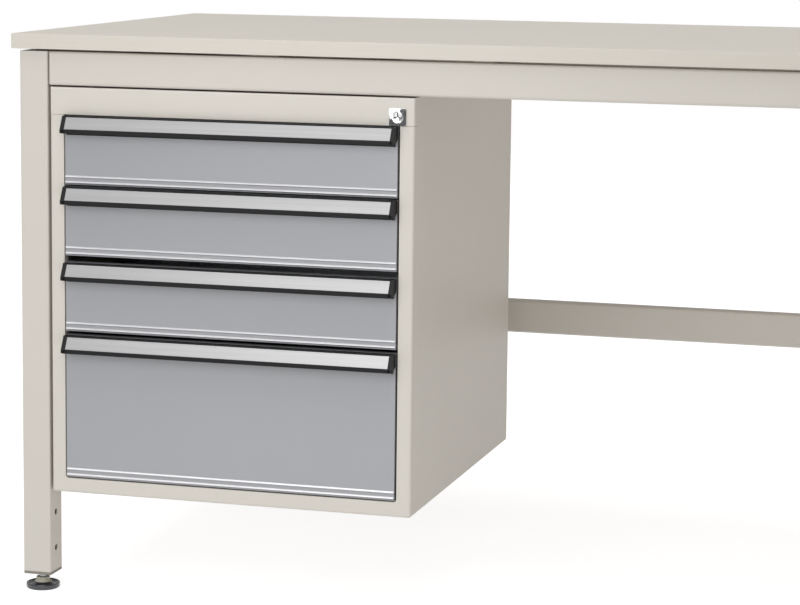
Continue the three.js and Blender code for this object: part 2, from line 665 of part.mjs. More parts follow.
// Sheet pan with a pressed ridge and a rolled lip along its lower edge
function drawerFront({ frontTop, frontBottom }) {
  const bead = (bottom, width, proud) => [
    point(FRONT_FACE, bottom + width),
    point(FRONT_FACE - proud, bottom + (2 / 3) * width),
    point(FRONT_FACE - proud, bottom + width / 3),
    point(FRONT_FACE, bottom),
  ];
  const ridge = bead(frontBottom + FRONT_RIDGE_HEIGHT, FRONT_RIDGE_WIDTH, FRONT_RIDGE_PROUD);
  const lip = bead(frontBottom + FRONT_BEND_RADIUS, FRONT_LIP_WIDTH, FRONT_LIP_PROUD);
  const upper = [point(FRONT_REAR, frontTop), point(FRONT_FACE, frontTop), ridge[0]];
  const lower = [lip[lip.length - 1], point(FRONT_FACE, frontBottom), point(FRONT_REAR, frontBottom)];
  const corners = [upper[0], upper[1], lower[1], lower[2]];
  // The lip ends where the lower bend begins, so the bend's own first two points are left out
  const lowerBend = roundedPath(lower, FRONT_BEND_RADIUS);
  const outer = [
    ...roundedPath(upper, FRONT_BEND_RADIUS),
    ...ridge.slice(1),
    ...lip,
    ...lowerBend.slice(2),
  ];
  const inner = roundedPath(offsetLeft(corners, FRONT_SHEET), FRONT_BEND_RADIUS - FRONT_SHEET);
  const sheet = new THREE.Shape([...outer, ...inner.reverse()]);
  const halfSheet = FRONT_SHEET / 2;
  const endWall = (x0) => block(
    x0, x0 + FRONT_SHEET,
    FRONT_FACE + halfSheet, FRONT_REAR - halfSheet,
    frontBottom + halfSheet, frontTop - halfSheet,
  );
  return join(
    alongX(sheet, FRONT_LEFT, FRONT_RIGHT),
    endWall(FRONT_LEFT + halfSheet),
    endWall(FRONT_RIGHT - FRONT_SHEET - halfSheet),
  );
}

// Corners of the handle's sloping face, and of the seat behind the strip, in (y, z)
function handleSlope(frontTop) {
  const top = point(FRONT_FACE - HANDLE_DEPTH_TOP, frontTop - HANDLE_TOP_BAND);
  const bottom = point(top.x - HANDLE_SLOPE_OUT, top.y - HANDLE_SLOPE_DOWN);
  const inward = point(HANDLE_SLOPE_DOWN, -HANDLE_SLOPE_OUT).normalize();
  const seat = (corner) => corner.clone().addScaledVector(inward, HANDLE_STRIP_THICKNESS);
  const rear = (corner) => corner.clone().addScaledVector(inward, HANDLE_STRIP_THICKNESS + HANDLE_WALL);
  return {
    top,
    bottom,
    seatTop: seat(top),
    seatBottom: seat(bottom),
    rearTop: rear(top),
    rearBottom: rear(bottom),
  };
}

function handleStrip({ frontTop }) {
  const { top, bottom, seatTop, seatBottom } = handleSlope(frontTop);
  const section = new THREE.Shape([top, bottom, seatBottom, seatTop]);
  return alongX(section, FRONT_LEFT + HANDLE_END_CAP, FRONT_RIGHT - HANDLE_END_CAP);
}

function handleGrip({ frontTop }) {
  const { top, bottom, seatTop, seatBottom, rearTop, rearBottom } = handleSlope(frontTop);
  const nose = bottom.x - HANDLE_LIP_PROUD;
  const lipBottom = bottom.y - HANDLE_LIP_DROP;
  const flangeFace = FRONT_FACE - HANDLE_FLANGE;
  const topUnder = frontTop - HANDLE_WALL - HANDLE_TOP_BAND;
  const lip = [
    point(nose, bottom.y - HANDLE_LIP_STEP),
    point(nose, lipBottom + HANDLE_LIP_CHAMFER),
    point(nose + HANDLE_LIP_CHAMFER, lipBottom),
    point(nose + HANDLE_LIP_DEPTH, lipBottom),
  ];
  const crown = [
    point(FRONT_FACE, frontTop),
    point(top.x + HANDLE_EDGE_CHAMFER, frontTop),
    point(top.x, frontTop - HANDLE_EDGE_CHAMFER),
    top,
  ];
  const body = new THREE.Shape([
    ...crown, seatTop, seatBottom, bottom, ...lip, rearBottom,
    point(rearTop.x, topUnder),
    point(flangeFace, topUnder),
    point(flangeFace, frontTop - HANDLE_FLANGE_DROP),
    point(FRONT_FACE, frontTop - HANDLE_FLANGE_DROP),
  ]);
  const cap = new THREE.Shape([
    ...crown, bottom, ...lip,
    point(FRONT_FACE, frontTop - HANDLE_FLANGE_DROP + HANDLE_CAP_HEEL),
  ]);
  return join(
    alongX(body, FRONT_LEFT, FRONT_RIGHT),
    alongX(cap, FRONT_LEFT, FRONT_LEFT + HANDLE_END_CAP),
    alongX(cap, FRONT_RIGHT - HANDLE_END_CAP, FRONT_RIGHT),
  );
}

function addDrawers() {
  const leftWall = CABINET_LEFT + CABINET_SHEET;
  const rightWall = CABINET_RIGHT - CABINET_SHEET;
  allDrawerHeights().forEach((heights, i) => {
    const n = i + 1;
    const { runnerBottom } = heights;
    const runnerLeft = runner(leftWall, TRAY_LEFT - RUNNER_TRAY_GAP, runnerBottom);
    const runnerRight = runner(rightWall, TRAY_RIGHT + RUNNER_TRAY_GAP, runnerBottom);
    addPiece(`runner_${n}_left`, runnerLeft, plainSteel());
    addPiece(`runner_${n}_right`, runnerRight, plainSteel());
    addPiece(`drawer_${n}_tray`, tray(heights), plainSteel());
    addPiece(`drawer_${n}_front`, drawerFront(heights), drawerPaint());
    addPiece(`drawer_${n}_handle_grip`, handleGrip(heights), blackPlastic());
    addPiece(`drawer_${n}_handle_strip`, handleStrip(heights), aluminium());
  });
}

// ---------------------------------------------------------------- lock

function lockPlate() {
  const outline = roundedSquare(LOCK_PLATE_SIZE, LOCK_PLATE_RADIUS);
  outline.holes.push(circle(LOCK_HEAD_RADIUS + LOCK_CLEARANCE, LOCK_SIDES));
  return alongY(outline, -LOCK_PLATE_THICKNESS, 0).translate(LOCK_X, CABINET_FRONT, LOCK_Z);
}

function lockCylinder() {
  const headFront = CABINET_FRONT - LOCK_HEAD_PROUD;
  const barrel = join(
    rodAlongY(LOCK_HEAD_RADIUS, LOCK_X, LOCK_Z, headFront, CABINET_FRONT - LOCK_CLEARANCE, LOCK_SIDES),
    rodAlongY(LOCK_BARREL_RADIUS, LOCK_X, LOCK_Z, headFront + OVERSHOOT, LOCK_CAM_FRONT, LOCK_SIDES),
  );
  const keyway = block(
    LOCK_X - KEYWAY_WIDTH / 2, LOCK_X + KEYWAY_WIDTH / 2,
    headFront - OVERSHOOT, headFront + KEYWAY_DEPTH,
    LOCK_Z - KEYWAY_HEIGHT / 2, LOCK_Z + KEYWAY_HEIGHT / 2,
  );
  return cut(barrel, keyway);
}

// Lever on the back of the cylinder that lowers the bar
function lockCam() {
  const camRear = LOCK_CAM_FRONT + LOCK_CAM_THICKNESS;
  return join(
    rodAlongY(LOCK_BARREL_RADIUS, LOCK_X, LOCK_Z, LOCK_CAM_FRONT, camRear, LOCK_SIDES),
    block(
      LOCK_X, LOCK_X + LOCK_CAM_REACH,
      LOCK_CAM_FRONT, camRear,
      LOCK_Z - LOCK_CAM_HALF_WIDTH, LOCK_Z + LOCK_CAM_HALF_WIDTH,
    ),
  );
}

function lockBar() {
  const drawers = allDrawerHeights();
  const barLeft = LOCK_BAR_RIGHT - LOCK_BAR_WIDTH;
  const barRear = LOCK_BAR_FRONT + LOCK_BAR_THICKNESS;
  const lugBottom = (heights) => heights.tabBottom + LOCK_TAB_HEIGHT + LOCK_LUG_GAP;
  const lowest = lugBottom(drawers[drawers.length - 1]);
  const lugs = drawers.map((heights) => block(
    TRAY_RIGHT + RUNNER_TRAY_GAP, barLeft + OVERSHOOT,
    LOCK_BAR_FRONT, barRear,
    lugBottom(heights), lugBottom(heights) + LOCK_BAR_TRAVEL,
  ));
  return join(
    block(barLeft, LOCK_BAR_RIGHT, LOCK_BAR_FRONT, barRear, lowest, CABINET_TOP - LOCK_BAR_TOP_ROOM),
    ...lugs,
  );
}

function addLock() {
  addPiece('lock_plate', lockPlate(), chrome());
  addPiece('lock_cylinder', lockCylinder(), chrome());
  addPiece('lock_cam', lockCam(), plainSteel());
  addPiece('lock_bar', lockBar(), plainSteel());
}

// ---------------------------------------------------------------- build

addFrame();
addCabinet();
addDrawers();
addLock();

export default bench;
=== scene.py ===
# %% [markdown]
# # A steel workbench with a drawer cabinet
#
# This lesson dresses a imported model of a workbench. The model already has every part at its real size,
# and each part already moves as it should. Here most parts that can be seen are modelled again, as fine
# as the real one, and the parts are given a painted, plastic or metal finish.
#
# Its box is kept.

# %% Load the imported model
import json
import math

import bmesh
import bpy
from mathutils import Matrix, Vector

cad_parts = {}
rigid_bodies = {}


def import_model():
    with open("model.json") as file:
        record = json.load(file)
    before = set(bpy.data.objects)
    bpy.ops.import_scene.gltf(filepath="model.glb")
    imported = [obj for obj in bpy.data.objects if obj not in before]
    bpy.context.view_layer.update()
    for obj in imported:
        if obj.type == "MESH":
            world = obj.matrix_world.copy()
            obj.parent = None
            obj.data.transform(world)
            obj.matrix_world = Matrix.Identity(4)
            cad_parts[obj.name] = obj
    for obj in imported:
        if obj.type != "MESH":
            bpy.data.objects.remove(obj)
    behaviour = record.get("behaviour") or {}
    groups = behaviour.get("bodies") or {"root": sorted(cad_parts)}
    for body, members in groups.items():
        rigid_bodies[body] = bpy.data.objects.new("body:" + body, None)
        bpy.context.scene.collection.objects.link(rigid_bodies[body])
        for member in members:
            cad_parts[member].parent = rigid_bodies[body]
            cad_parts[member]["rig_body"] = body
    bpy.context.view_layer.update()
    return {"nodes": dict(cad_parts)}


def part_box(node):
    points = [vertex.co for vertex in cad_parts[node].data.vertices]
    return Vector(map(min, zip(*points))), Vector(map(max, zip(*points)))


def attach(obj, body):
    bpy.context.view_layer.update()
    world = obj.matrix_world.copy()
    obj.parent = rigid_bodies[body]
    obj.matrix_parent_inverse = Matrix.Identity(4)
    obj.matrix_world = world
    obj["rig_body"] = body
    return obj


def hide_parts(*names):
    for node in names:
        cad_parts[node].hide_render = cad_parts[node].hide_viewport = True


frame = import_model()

MM = 0.001

# %% [markdown]
# ## The camera
#
# The camera stands in front of the bench, to the right of the cabinet, a little above the worktop, and
# looks to the left and slightly down. The lens is long, so that upright edges stay nearly parallel. The
# view is shifted a little in place of tilting the camera further.

# %% Place the camera
CAMERA_SPOT = Vector((0.7058, -3.5549, 0.9396))
CAMERA_TURN = math.radians(15.885)
CAMERA_DIP = math.radians(7.35)
CAMERA_ROLL = math.radians(0.614)
CAMERA_LENS = 117.62
CAMERA_SHIFT = -0.08
SENSOR_WIDTH = 36
NEAREST_SEEN = 0.1

lens = bpy.data.cameras.new("camera")
lens.lens = CAMERA_LENS
lens.sensor_width = SENSOR_WIDTH
lens.shift_y = CAMERA_SHIFT
lens.clip_start = NEAREST_SEEN
camera = bpy.data.objects.new("camera", lens)
bpy.context.scene.collection.objects.link(camera)
bpy.context.scene.camera = camera
aimed = Matrix.Rotation(CAMERA_TURN, 4, "Z") @ Matrix.Rotation(math.pi / 2 - CAMERA_DIP, 4, "X")
camera.matrix_world = Matrix.Translation(CAMERA_SPOT) @ aimed @ Matrix.Rotation(CAMERA_ROLL, 4, "Z")
print("camera at", tuple(round(n, 3) for n in CAMERA_SPOT))

# %% [markdown]
# ## Light and floor
#
# A white studio: an even surround, one broad light overhead and one in front. Wide suns are used for
# them, because a sun is as bright far away as it is near, so the pale floor keeps one tone. A small
# softbox hangs before the top of the cabinet and lifts it a little above the rest. The floor glows a
# little, like a lit table, which keeps the shadows under the bench pale. The camera sees the surround
# as white; to the bench it is warmer on the right. A dark screen painted low in it, to the front and
# right, gives polished metal something to mirror and keeps the bench's right-hand faces darker.

# %% Light the studio
OVERHEAD_STRENGTH = 1.3
OVERHEAD_HEIGHT = math.radians(78)
OVERHEAD_WIDTH = math.radians(32)
FRONT_STRENGTH = 0.68
FRONT_HEIGHT = math.radians(41)
FRONT_WIDTH = math.radians(72)
FRONT_SIDE = math.radians(9)
SOFTBOX_POWER = 5.6
SOFTBOX_SIZE = 0.8
SOFTBOX_SPOT = Vector((-0.48, -1.5, 1.0))
SOFTBOX_AIM = Vector((-0.46, -0.34, 0.7))


def sun(name, strength, width, height, side):
    """A broad light from the front, raised, and moved round to the right by the side angle."""
    data = bpy.data.lights.new(name, "SUN")
    data.energy = strength
    data.angle = width
    lamp = bpy.data.objects.new(name, data)
    lamp.rotation_euler = (math.pi / 2 - height, 0, side)
    bpy.context.scene.collection.objects.link(lamp)


sun("overhead_light", OVERHEAD_STRENGTH, OVERHEAD_WIDTH, OVERHEAD_HEIGHT, 0)
sun("front_light", FRONT_STRENGTH, FRONT_WIDTH, FRONT_HEIGHT, FRONT_SIDE)
panel = bpy.data.lights.new("softbox", "AREA")
panel.energy = SOFTBOX_POWER
panel.size = SOFTBOX_SIZE
softbox = bpy.data.objects.new("softbox", panel)
softbox.location = SOFTBOX_SPOT
softbox.rotation_euler = (SOFTBOX_AIM - SOFTBOX_SPOT).to_track_quat("-Z", "Y").to_euler()
softbox.visible_camera = False
bpy.context.scene.collection.objects.link(softbox)

bpy.context.scene.view_settings.view_transform = "Standard"
world = bpy.data.worlds.new("studio")
bpy.context.scene.world = world
world.use_nodes = True
print("two suns and a softbox")

# %% [markdown]
# ## Shader maths
#
# A finish is built from nodes. `Value` wraps a socket, so that sums on values read as sums, and
# `Finish` has one method that makes any node from its type, its inputs and its settings. The surround
# and the floor are the first to be made with them.

# %% Two small classes for materials
EDGE_GAIN = 6


class Value:
    """A node's output that can be used in sums; each sum adds a Math node."""

    def __init__(self, finish, socket):
        self.finish = finish
        self.socket = socket

    def math(self, operation, *others):
        return self.finish.node("Math", dict(enumerate((self, *others))), operation=operation)

    def __add__(self, other):
        return self.math("ADD", other)

    def __sub__(self, other):
        return self.math("SUBTRACT", other)

    def __mul__(self, other):
        return self.math("MULTIPLY", other)

    def __rsub__(self, other):
        return self.finish.node("Math", {0: other, 1: self}, operation="SUBTRACT")

    __radd__ = __add__
    __rmul__ = __mul__


class Finish:
    """One material, with the nodes that it is made of."""

    def __init__(self, name, owner=None):
        self.material = owner or bpy.data.materials.new(name)
        self.material.use_nodes = True
        self.tree = self.material.node_tree
        if owner is None:
            self.shader = self.tree.nodes["Principled BSDF"]

    def node(self, kind, inputs=None, output=0, stops=None, **settings):
        """Makes a node, sets its settings, then fills its sockets with numbers or links."""
        made = self.tree.nodes.new("ShaderNode" + kind)
        for name, value in settings.items():
            setattr(made, name, value)
        for place, colour in stops or []:
            first = place == stops[0][0]
            stop = made.color_ramp.elements[0] if first else made.color_ramp.elements.new(place)
            stop.position = place
            stop.color = (*colour, 1)
        if stops:
            made.color_ramp.elements.remove(made.color_ramp.elements[len(stops)])
        for name, value in (inputs or {}).items():
            if isinstance(value, Value):
                self.tree.links.new(value.socket, made.inputs[name])
            else:
                made.inputs[name].default_value = value
        return Value(self, made.outputs[output])

    def set(self, **values):
        """Sets or links the shader's own sockets; an underscore stands for a space."""
        for name, value in values.items():
            socket = self.shader.inputs[name.replace("_", " ")]
            if isinstance(value, Value):
                self.tree.links.new(value.socket, socket)
            else:
                socket.default_value = value
        return self

    def noise(self, per_metre, detail=2.0, stretch=(1, 1, 1)):
        """Noise from 0 to 1 on the object's own coordinates, with so many bumps to a metre."""
        where = self.node("TexCoord", output="Object")
        scaled = self.node("Mapping", {"Vector": where, "Scale": stretch})
        return self.node("TexNoise", {"Vector": scaled, "Scale": per_metre, "Detail": detail}, "Fac")

    def tone(self, colour, lighter, amount):
        """The colour, made darker or lighter by a share of the amount as the value goes 0 to 1."""
        dark = tuple(c * (1 - amount) for c in colour)
        light = tuple(min(1, c * (1 + amount)) for c in colour)
        return self.node("ValToRGB", {"Fac": lighter}, "Color", [(0.25, dark), (0.75, light)])

    def edges(self, width):
        """1 along sharp edges and 0 on flats: how far a rounded normal turns from the true one."""
        rounded = self.node("Bevel", {"Radius": width}, samples=4)
        true = self.node("NewGeometry", output="Normal")
        facing = self.node("VectorMath", {0: rounded, 1: true}, "Value", operation="DOT_PRODUCT")
        return ((1 - facing) * EDGE_GAIN).math("MINIMUM", 1)

    def mix(self, share, first, second):
        """The first colour at 0 and the second at 1."""
        return self.node("Mix", {"Factor": share, 6: first, 7: second}, 2, data_type="RGBA")

    def bump(self, height, depth):
        """Surface relief of a real depth, in metres."""
        return self.node("Bump", {"Height": height, "Distance": depth, "Strength": 1.0})


print("classes Value and Finish are ready")

# %% Paint the surround
SURROUND = 0.42
SCREEN_EDGE = 0.12
SCREEN_SLANT = 0.8
SCREEN_BLUR = 25
SCREEN_DARK = 0.85
SCREEN_SIDE_BLUR = 5
WHITE = (1, 1, 1, 1)
WARM_WHITE = (1.0, 0.88, 0.74, 1)
WARM_GAIN = 1.4

surround = Finish("studio", world)
sky = surround.tree.nodes["Background"]
direction = surround.node("TexCoord", output="Generated")
right, front, up = (
    surround.node("SeparateXYZ", {"Vector": direction}, axis) * way for axis, way in zip("XYZ", (1, -1, 1))
)


def limited(value):
    """The value kept between 0 and 1."""
    return value.math("MINIMUM", 1).math("MAXIMUM", 0)


screen = limited((limited(right) * SCREEN_SLANT - up + SCREEN_EDGE) * SCREEN_BLUR)
screen = screen * limited(front * SCREEN_SIDE_BLUR)
seen = surround.node("LightPath", output="Is Camera Ray")
glow = (1 - screen * SCREEN_DARK) * SURROUND
surround.tree.links.new((seen + (1 - seen) * glow).socket, sky.inputs["Strength"])
warmth = limited(right * WARM_GAIN) * (1 - seen)
surround.tree.links.new(surround.mix(warmth, WHITE, WARM_WHITE).socket, sky.inputs["Color"])
print("a white surround with a dark screen")

# %% Lay the floor
FLOOR_REACH = 6
FLOOR_GLOW = 0.76
FLOOR_LIGHT = 0.69
FLOOR_TONE = 0.42
FLOOR_ROUGHNESS = 0.9

bpy.ops.object.select_all(action="DESELECT")
bpy.ops.mesh.primitive_plane_add(size=2 * FLOOR_REACH)
floor = bpy.context.active_object
floor.name = "studio_floor"
pale = Finish("pale_floor").set(Base_Color=(*[FLOOR_TONE] * 3, 1), Roughness=FLOOR_ROUGHNESS)
on_film = pale.node("LightPath", output="Is Camera Ray")
dimmed = (*[FLOOR_LIGHT] * 3, 1)
pale.set(Emission_Color=pale.mix(on_film, dimmed, WHITE), Emission_Strength=FLOOR_GLOW)
floor.data.materials.append(pale.material)
print("floor is", 2 * FLOOR_REACH, "m wide")

# %% [markdown]
# ## Paint, laminate and plastic
#
# Powder coat is never flat: it has a fine orange-peel skin, a slow drift in tone and a thinner, slightly
# paler film along sharp edges. The frame's beige-grey and the drawers' silver share one recipe; the
# silver also holds fine metal flakes. Relief is given in real depths, a few hundredths of a millimetre.
# The upward and outward sides of the ridges pressed into the drawers get a painted highlight: a paler,
# shinier coat of their own.

# %% Mix the paints
FRAME_BEIGE = (0.588, 0.556, 0.507)
CABINET_BEIGE = (0.612, 0.580, 0.530)
DRAWER_SILVER = (0.383, 0.389, 0.409)
PEEL_PER_METRE = 420
DRIFT_PER_METRE = 3.5
PEEL_DEPTH = 0.018 * MM
FLAKES_PER_METRE = 2600
PAINT_EDGE = 0.8 * MM
# The pale silver of the painted highlight on the drawers' ridges.
RIDGE_HIGHLIGHT_SILVER = (0.80, 0.80, 0.82)


def powder_coat(name, colour):
    """Satin powder coat with orange peel, slow drift and paler edges."""
    paint = Finish(name)
    drift = paint.noise(DRIFT_PER_METRE, 3)
    speck = paint.noise(FLAKES_PER_METRE, 1)
    body = paint.tone(colour, drift * 0.6 + speck * 0.4, 0.025)
    pale = tuple(min(1, c * 1.12) for c in colour)
    paint.set(Base_Color=paint.mix(paint.edges(PAINT_EDGE) * 0.5, body, (*pale, 1)))
    peel = paint.noise(PEEL_PER_METRE, 2)
    paint.set(Roughness=paint.noise(60, 3) * 0.1 + 0.42, IOR=1.5)
    return paint.set(Normal=paint.bump(peel, PEEL_DEPTH))


frame_paint = powder_coat("frame_powder_coat", FRAME_BEIGE)
cabinet_paint = powder_coat("cabinet_powder_coat", CABINET_BEIGE)
drawer_paint = powder_coat("drawer_silver_coat", DRAWER_SILVER)
flakes = drawer_paint.noise(FLAKES_PER_METRE * 1.7, 1)
drawer_paint.set(Metallic=flakes * 0.6 + 0.1, Coat_Weight=0.3, Coat_Roughness=0.2)

# Painted highlight: a pale, shinier silver for the upward and outward sides of the drawers' ridges, streaked
# along X.
ridge_highlight_coat = Finish("drawer_ridge_sheen")
rubbed = ridge_highlight_coat.noise(FLAKES_PER_METRE, 2, (0.03, 1, 1))
ridge_highlight_coat.set(Base_Color=ridge_highlight_coat.tone(RIDGE_HIGHLIGHT_SILVER, rubbed, 0.06), Metallic=0.35)
ridge_highlight_coat.set(Roughness=rubbed * 0.12 + 0.3, Normal=ridge_highlight_coat.bump(rubbed, 0.004 * MM))
print("three powder coats and the sheen of a rubbed ridge")

# %% Make the worktop's laminate and edge band
LAMINATE_CREAM = (0.694, 0.657, 0.596)
BAND_CREAM = (0.600, 0.568, 0.508)
BAND_WORN = (0.70, 0.66, 0.59, 1)
SPECKS_PER_METRE = 900

laminate = Finish("worktop_laminate")
cloud = laminate.noise(6, 4)
fibre = laminate.noise(SPECKS_PER_METRE, 3, (0.25, 1, 1))
speck = laminate.noise(SPECKS_PER_METRE * 2, 1)
laminate.set(Base_Color=laminate.tone(LAMINATE_CREAM, cloud * 0.3 + fibre * 0.4 + speck * 0.3, 0.05))
laminate.set(Roughness=laminate.noise(25, 4) * 0.12 + 0.36)
laminate.set(Normal=laminate.bump(fibre + speck * 0.5, 0.012 * MM))

band = Finish("worktop_edge_band")
scrape = band.noise(SPECKS_PER_METRE, 2, (0.02, 0.02, 1))
worn = band.edges(0.7 * MM)
band_tone = band.tone(BAND_CREAM, scrape * 0.6 + band.noise(9, 3) * 0.4, 0.03)
band.set(Base_Color=band.mix(worn * 0.4, band_tone, BAND_WORN))
band.set(Roughness=scrape * 0.1 + 0.4, Normal=band.bump(scrape, 0.01 * MM))
print("laminate and edge band")

# %% Make the plastics and rubber
GRIP_BLACK = (0.0085, 0.0085, 0.0095)
CAP_GREY = (0.235, 0.215, 0.185)
FOOT_DARK = (0.024, 0.027, 0.035)
COLLAR_CREAM = (0.60, 0.57, 0.48)
RUBBER_DARK = (0.035, 0.035, 0.036)


def moulded_plastic(name, colour, gloss, grain_depth, rub=1.9):
    """Moulded plastic: spark-eroded grain, uneven gloss, and edges rubbed to a paler tone."""
    plastic = Finish(name)
    grain = plastic.noise(1400, 2)
    body = plastic.tone(colour, plastic.noise(18, 4) * 0.6 + grain * 0.4, 0.12)
    pale = tuple(min(1, c * rub) for c in colour)
    plastic.set(Base_Color=plastic.mix(plastic.edges(0.5 * MM) * 0.5, body, (*pale, 1)))
    plastic.set(Roughness=plastic.noise(90, 3) * 0.16 + gloss)
    return plastic.set(Normal=plastic.bump(grain, grain_depth))


grip_plastic = moulded_plastic("grip_black_plastic", GRIP_BLACK, 0.45, 0.02 * MM, 1.6)
grip_plastic.set(Specular_IOR_Level=0.28)
cap_plastic = moulded_plastic("cap_grey_plastic", CAP_GREY, 0.5, 0.02 * MM, 1.2)
foot_plastic = moulded_plastic("foot_dark_plastic", FOOT_DARK, 0.1, 0.004 * MM, 2.2)
foot_plastic.set(IOR=1.6, Coat_Weight=0.7, Coat_Roughness=0.1)
collar_plastic = moulded_plastic("collar_cream_plastic", COLLAR_CREAM, 0.4, 0.01 * MM, 1.1)
packing_rubber = moulded_plastic("packing_rubber", RUBBER_DARK, 0.7, 0.05 * MM, 1.4)
print("five moulded finishes")

# %% [markdown]
# ## Metals
#
# The handle strips are aluminium brushed along their length, so their noise is drawn out along X into
# long streaks. Zinc-plated steel shows faint crystals and a cloudy sheen. The lock is polished chrome,
# which is nearly a mirror, with only a trace of haze and fine rubbing marks.

# %% Make the metals
ALUMINIUM = (0.425, 0.425, 0.429)
ZINC = (0.56, 0.57, 0.585)
CHROME = (0.86, 0.865, 0.88)
STREAKS_PER_METRE = 2200
STREAK_STRETCH = (0.006, 1, 1)
CRYSTALS_PER_METRE = 180.0

aluminium = Finish("brushed_aluminium")
streaks = aluminium.noise(STREAKS_PER_METRE, 3, STREAK_STRETCH)
broad = aluminium.noise(STREAKS_PER_METRE / 5, 2, STREAK_STRETCH)
aluminium.set(Base_Color=aluminium.tone(ALUMINIUM, streaks * 0.4 + broad * 0.6, 0.1), Metallic=1.0)
aluminium.set(Roughness=streaks * 0.14 + aluminium.noise(14, 3) * 0.05 + 0.34)
aluminium.set(Normal=aluminium.bump(streaks, 0.006 * MM))

zinc = Finish("zinc_plated_steel")
where = zinc.node("TexCoord", output="Object")
crystals = zinc.node("TexVoronoi", {"Vector": where, "Scale": CRYSTALS_PER_METRE}, "Color")
haze = zinc.noise(22, 4)
zinc.set(Base_Color=zinc.tone(ZINC, crystals * 0.45 + haze * 0.55, 0.06), Metallic=1.0)
zinc.set(Roughness=haze * 0.16 + 0.27, Normal=zinc.bump(zinc.noise(700, 2), 0.008 * MM))

chrome = Finish("polished_chrome")
marks = chrome.noise(1800, 2, (1, 1, 0.03))
chrome.set(Base_Color=chrome.tone(CHROME, marks * 0.5 + chrome.noise(120, 2) * 0.5, 0.03))
chrome.set(Metallic=1.0, Roughness=marks * 0.05 + 0.05, Normal=chrome.bump(marks, 0.001 * MM))
print("aluminium, zinc and chrome")

# %% [markdown]
# ## Tools of the bench
#
# The next cells wrap the modelling operators that are used again and again: selecting by place,
# drawing an outline point by point, pulling it into a bar, folding a sheet, rounding edges. An operator
# acts on all that is selected, so each helper first clears the selection and then picks what it needs.

# %% Select, start and settle a piece
TOUCH = 0.05 * MM
ALIGNED = 0.9


def take(piece):
    """Makes the piece the only one selected, in object mode."""
    if bpy.context.mode != "OBJECT":
        bpy.ops.object.mode_set(mode="OBJECT")
    bpy.ops.object.select_all(action="DESELECT")
    if piece:
        piece.select_set(True)
        bpy.context.view_layer.objects.active = piece
    return piece


def settle(name):
    """Names the new active piece and moves its place into its mesh."""
    piece = bpy.context.active_object
    piece.name = name
    piece.data.name = name
    bpy.ops.object.transform_apply(location=True, rotation=True, scale=True)
    return piece


def pick(piece, kind, test):
    """Opens the piece for editing, with just the parts that pass the test selected.

    The test is given a part's centre and its direction: a face's normal or an edge's run."""
    take(piece)
    bpy.ops.object.mode_set(mode="EDIT")
    bpy.ops.mesh.select_mode(type=kind)
    bpy.ops.mesh.select_all(action="DESELECT")
    mesh = bmesh.from_edit_mesh(piece.data)
    found = False
    for part in {"VERT": mesh.verts, "EDGE": mesh.edges, "FACE": mesh.faces}[kind]:
        if kind == "VERT":
            chosen = test(part.co, None)
        elif kind == "EDGE":
            run = part.verts[1].co - part.verts[0].co
            chosen = test((part.verts[0].co + part.verts[1].co) / 2, run.normalized())
        else:
            chosen = test(part.calc_center_median(), part.normal)
        if chosen:
            part.select_set(True)
            found = True
    mesh.select_flush_mode()
    bmesh.update_edit_mesh(piece.data)
    if not found:
        raise ValueError(f"nothing on {piece.name} passes the test")


def everything(piece):
    """Opens the piece for editing with all of it selected."""
    pick(piece, "VERT", lambda where, way: True)


def near(a, b):
    return abs(a - b) < TOUCH


def upright(where, way):
    """Passes edges that run up and down, and faces that look up or down."""
    return abs(way.z) > ALIGNED


print("selection tools are ready")


# %% Start solids, draw outlines and pull them
SAME_SPOT = 0.005 * MM
BEND_STEPS = 6


def block(name, low, high):
    """A box between two corners, as a start."""
    take(None)
    middle = [(a + b) / 2 for a, b in zip(low, high)]
    size = [b - a for a, b in zip(low, high)]
    bpy.ops.mesh.primitive_cube_add(size=1, location=middle, scale=size)
    return settle(name)


def spot(axis, at, u, v):
    """A point of an outline that lies across the axis; u and v run along the other two axes."""
    return Vector({"X": (at, u, v), "Y": (u, at, v), "Z": (u, v, at)}[axis])


def draw(name, axis, at, outline):
    """A chain of edges through the outline's points, each extruded from the one before."""
    points = [spot(axis, at, u, v) for u, v in outline]
    take(None)
    bpy.ops.mesh.primitive_plane_add(size=MM, location=points[0])
    piece = settle(name)
    everything(piece)
    bpy.ops.mesh.merge(type="CENTER")
    for first, last in zip(points, points[1:]):
        bpy.ops.mesh.extrude_region_move(TRANSFORM_OT_translate={"value": last - first})
    return piece


def pull(axis, distance):
    """Extrudes what is selected along the axis."""
    bpy.ops.mesh.extrude_region_move(TRANSFORM_OT_translate={"value": spot(axis, distance, 0, 0)})


def bar(name, axis, start, end, outline):
    """A solid bar: a closed outline, filled and pulled along the axis."""
    piece = draw(name, axis, start, [*outline, outline[0]])
    everything(piece)
    bpy.ops.mesh.remove_doubles(threshold=SAME_SPOT)
    bpy.ops.mesh.edge_face_add()
    pull(axis, end - start)
    bpy.ops.mesh.select_all(action="SELECT")
    bpy.ops.mesh.normals_make_consistent(inside=False)
    return take(piece)


def folded(name, axis, start, end, path, outward, sheet, bend, drawn=None):
    """A folded sheet: a path pulled along the axis, bends rounded, then the wall grown inwards.

    outward is the way that the path's first stretch faces. drawn may shape the flat sheet further."""
    piece = draw(name, axis, start, path)
    everything(piece)
    pull(axis, end - start)
    take(piece)
    if piece.data.polygons[0].normal.dot(Vector(outward)) < 0:
        everything(piece)
        bpy.ops.mesh.flip_normals()
    if drawn:
        drawn(piece)
    round_edges(piece, bend, BEND_STEPS, is_fold(axis, path[1:-1]))
    return thicken(piece, sheet)


def is_fold(axis, corners):
    """A test for the edges that run along the axis through the given corners of an outline."""
    run = spot(axis, 1, 0, 0)

    def test(where, way):
        across = [n for n, along in zip(where, run) if not along]
        on_corner = any(near(across[0], u) and near(across[1], v) for u, v in corners)
        return on_corner and abs(way.dot(run)) > 0.99

    return test


print("outline tools are ready")


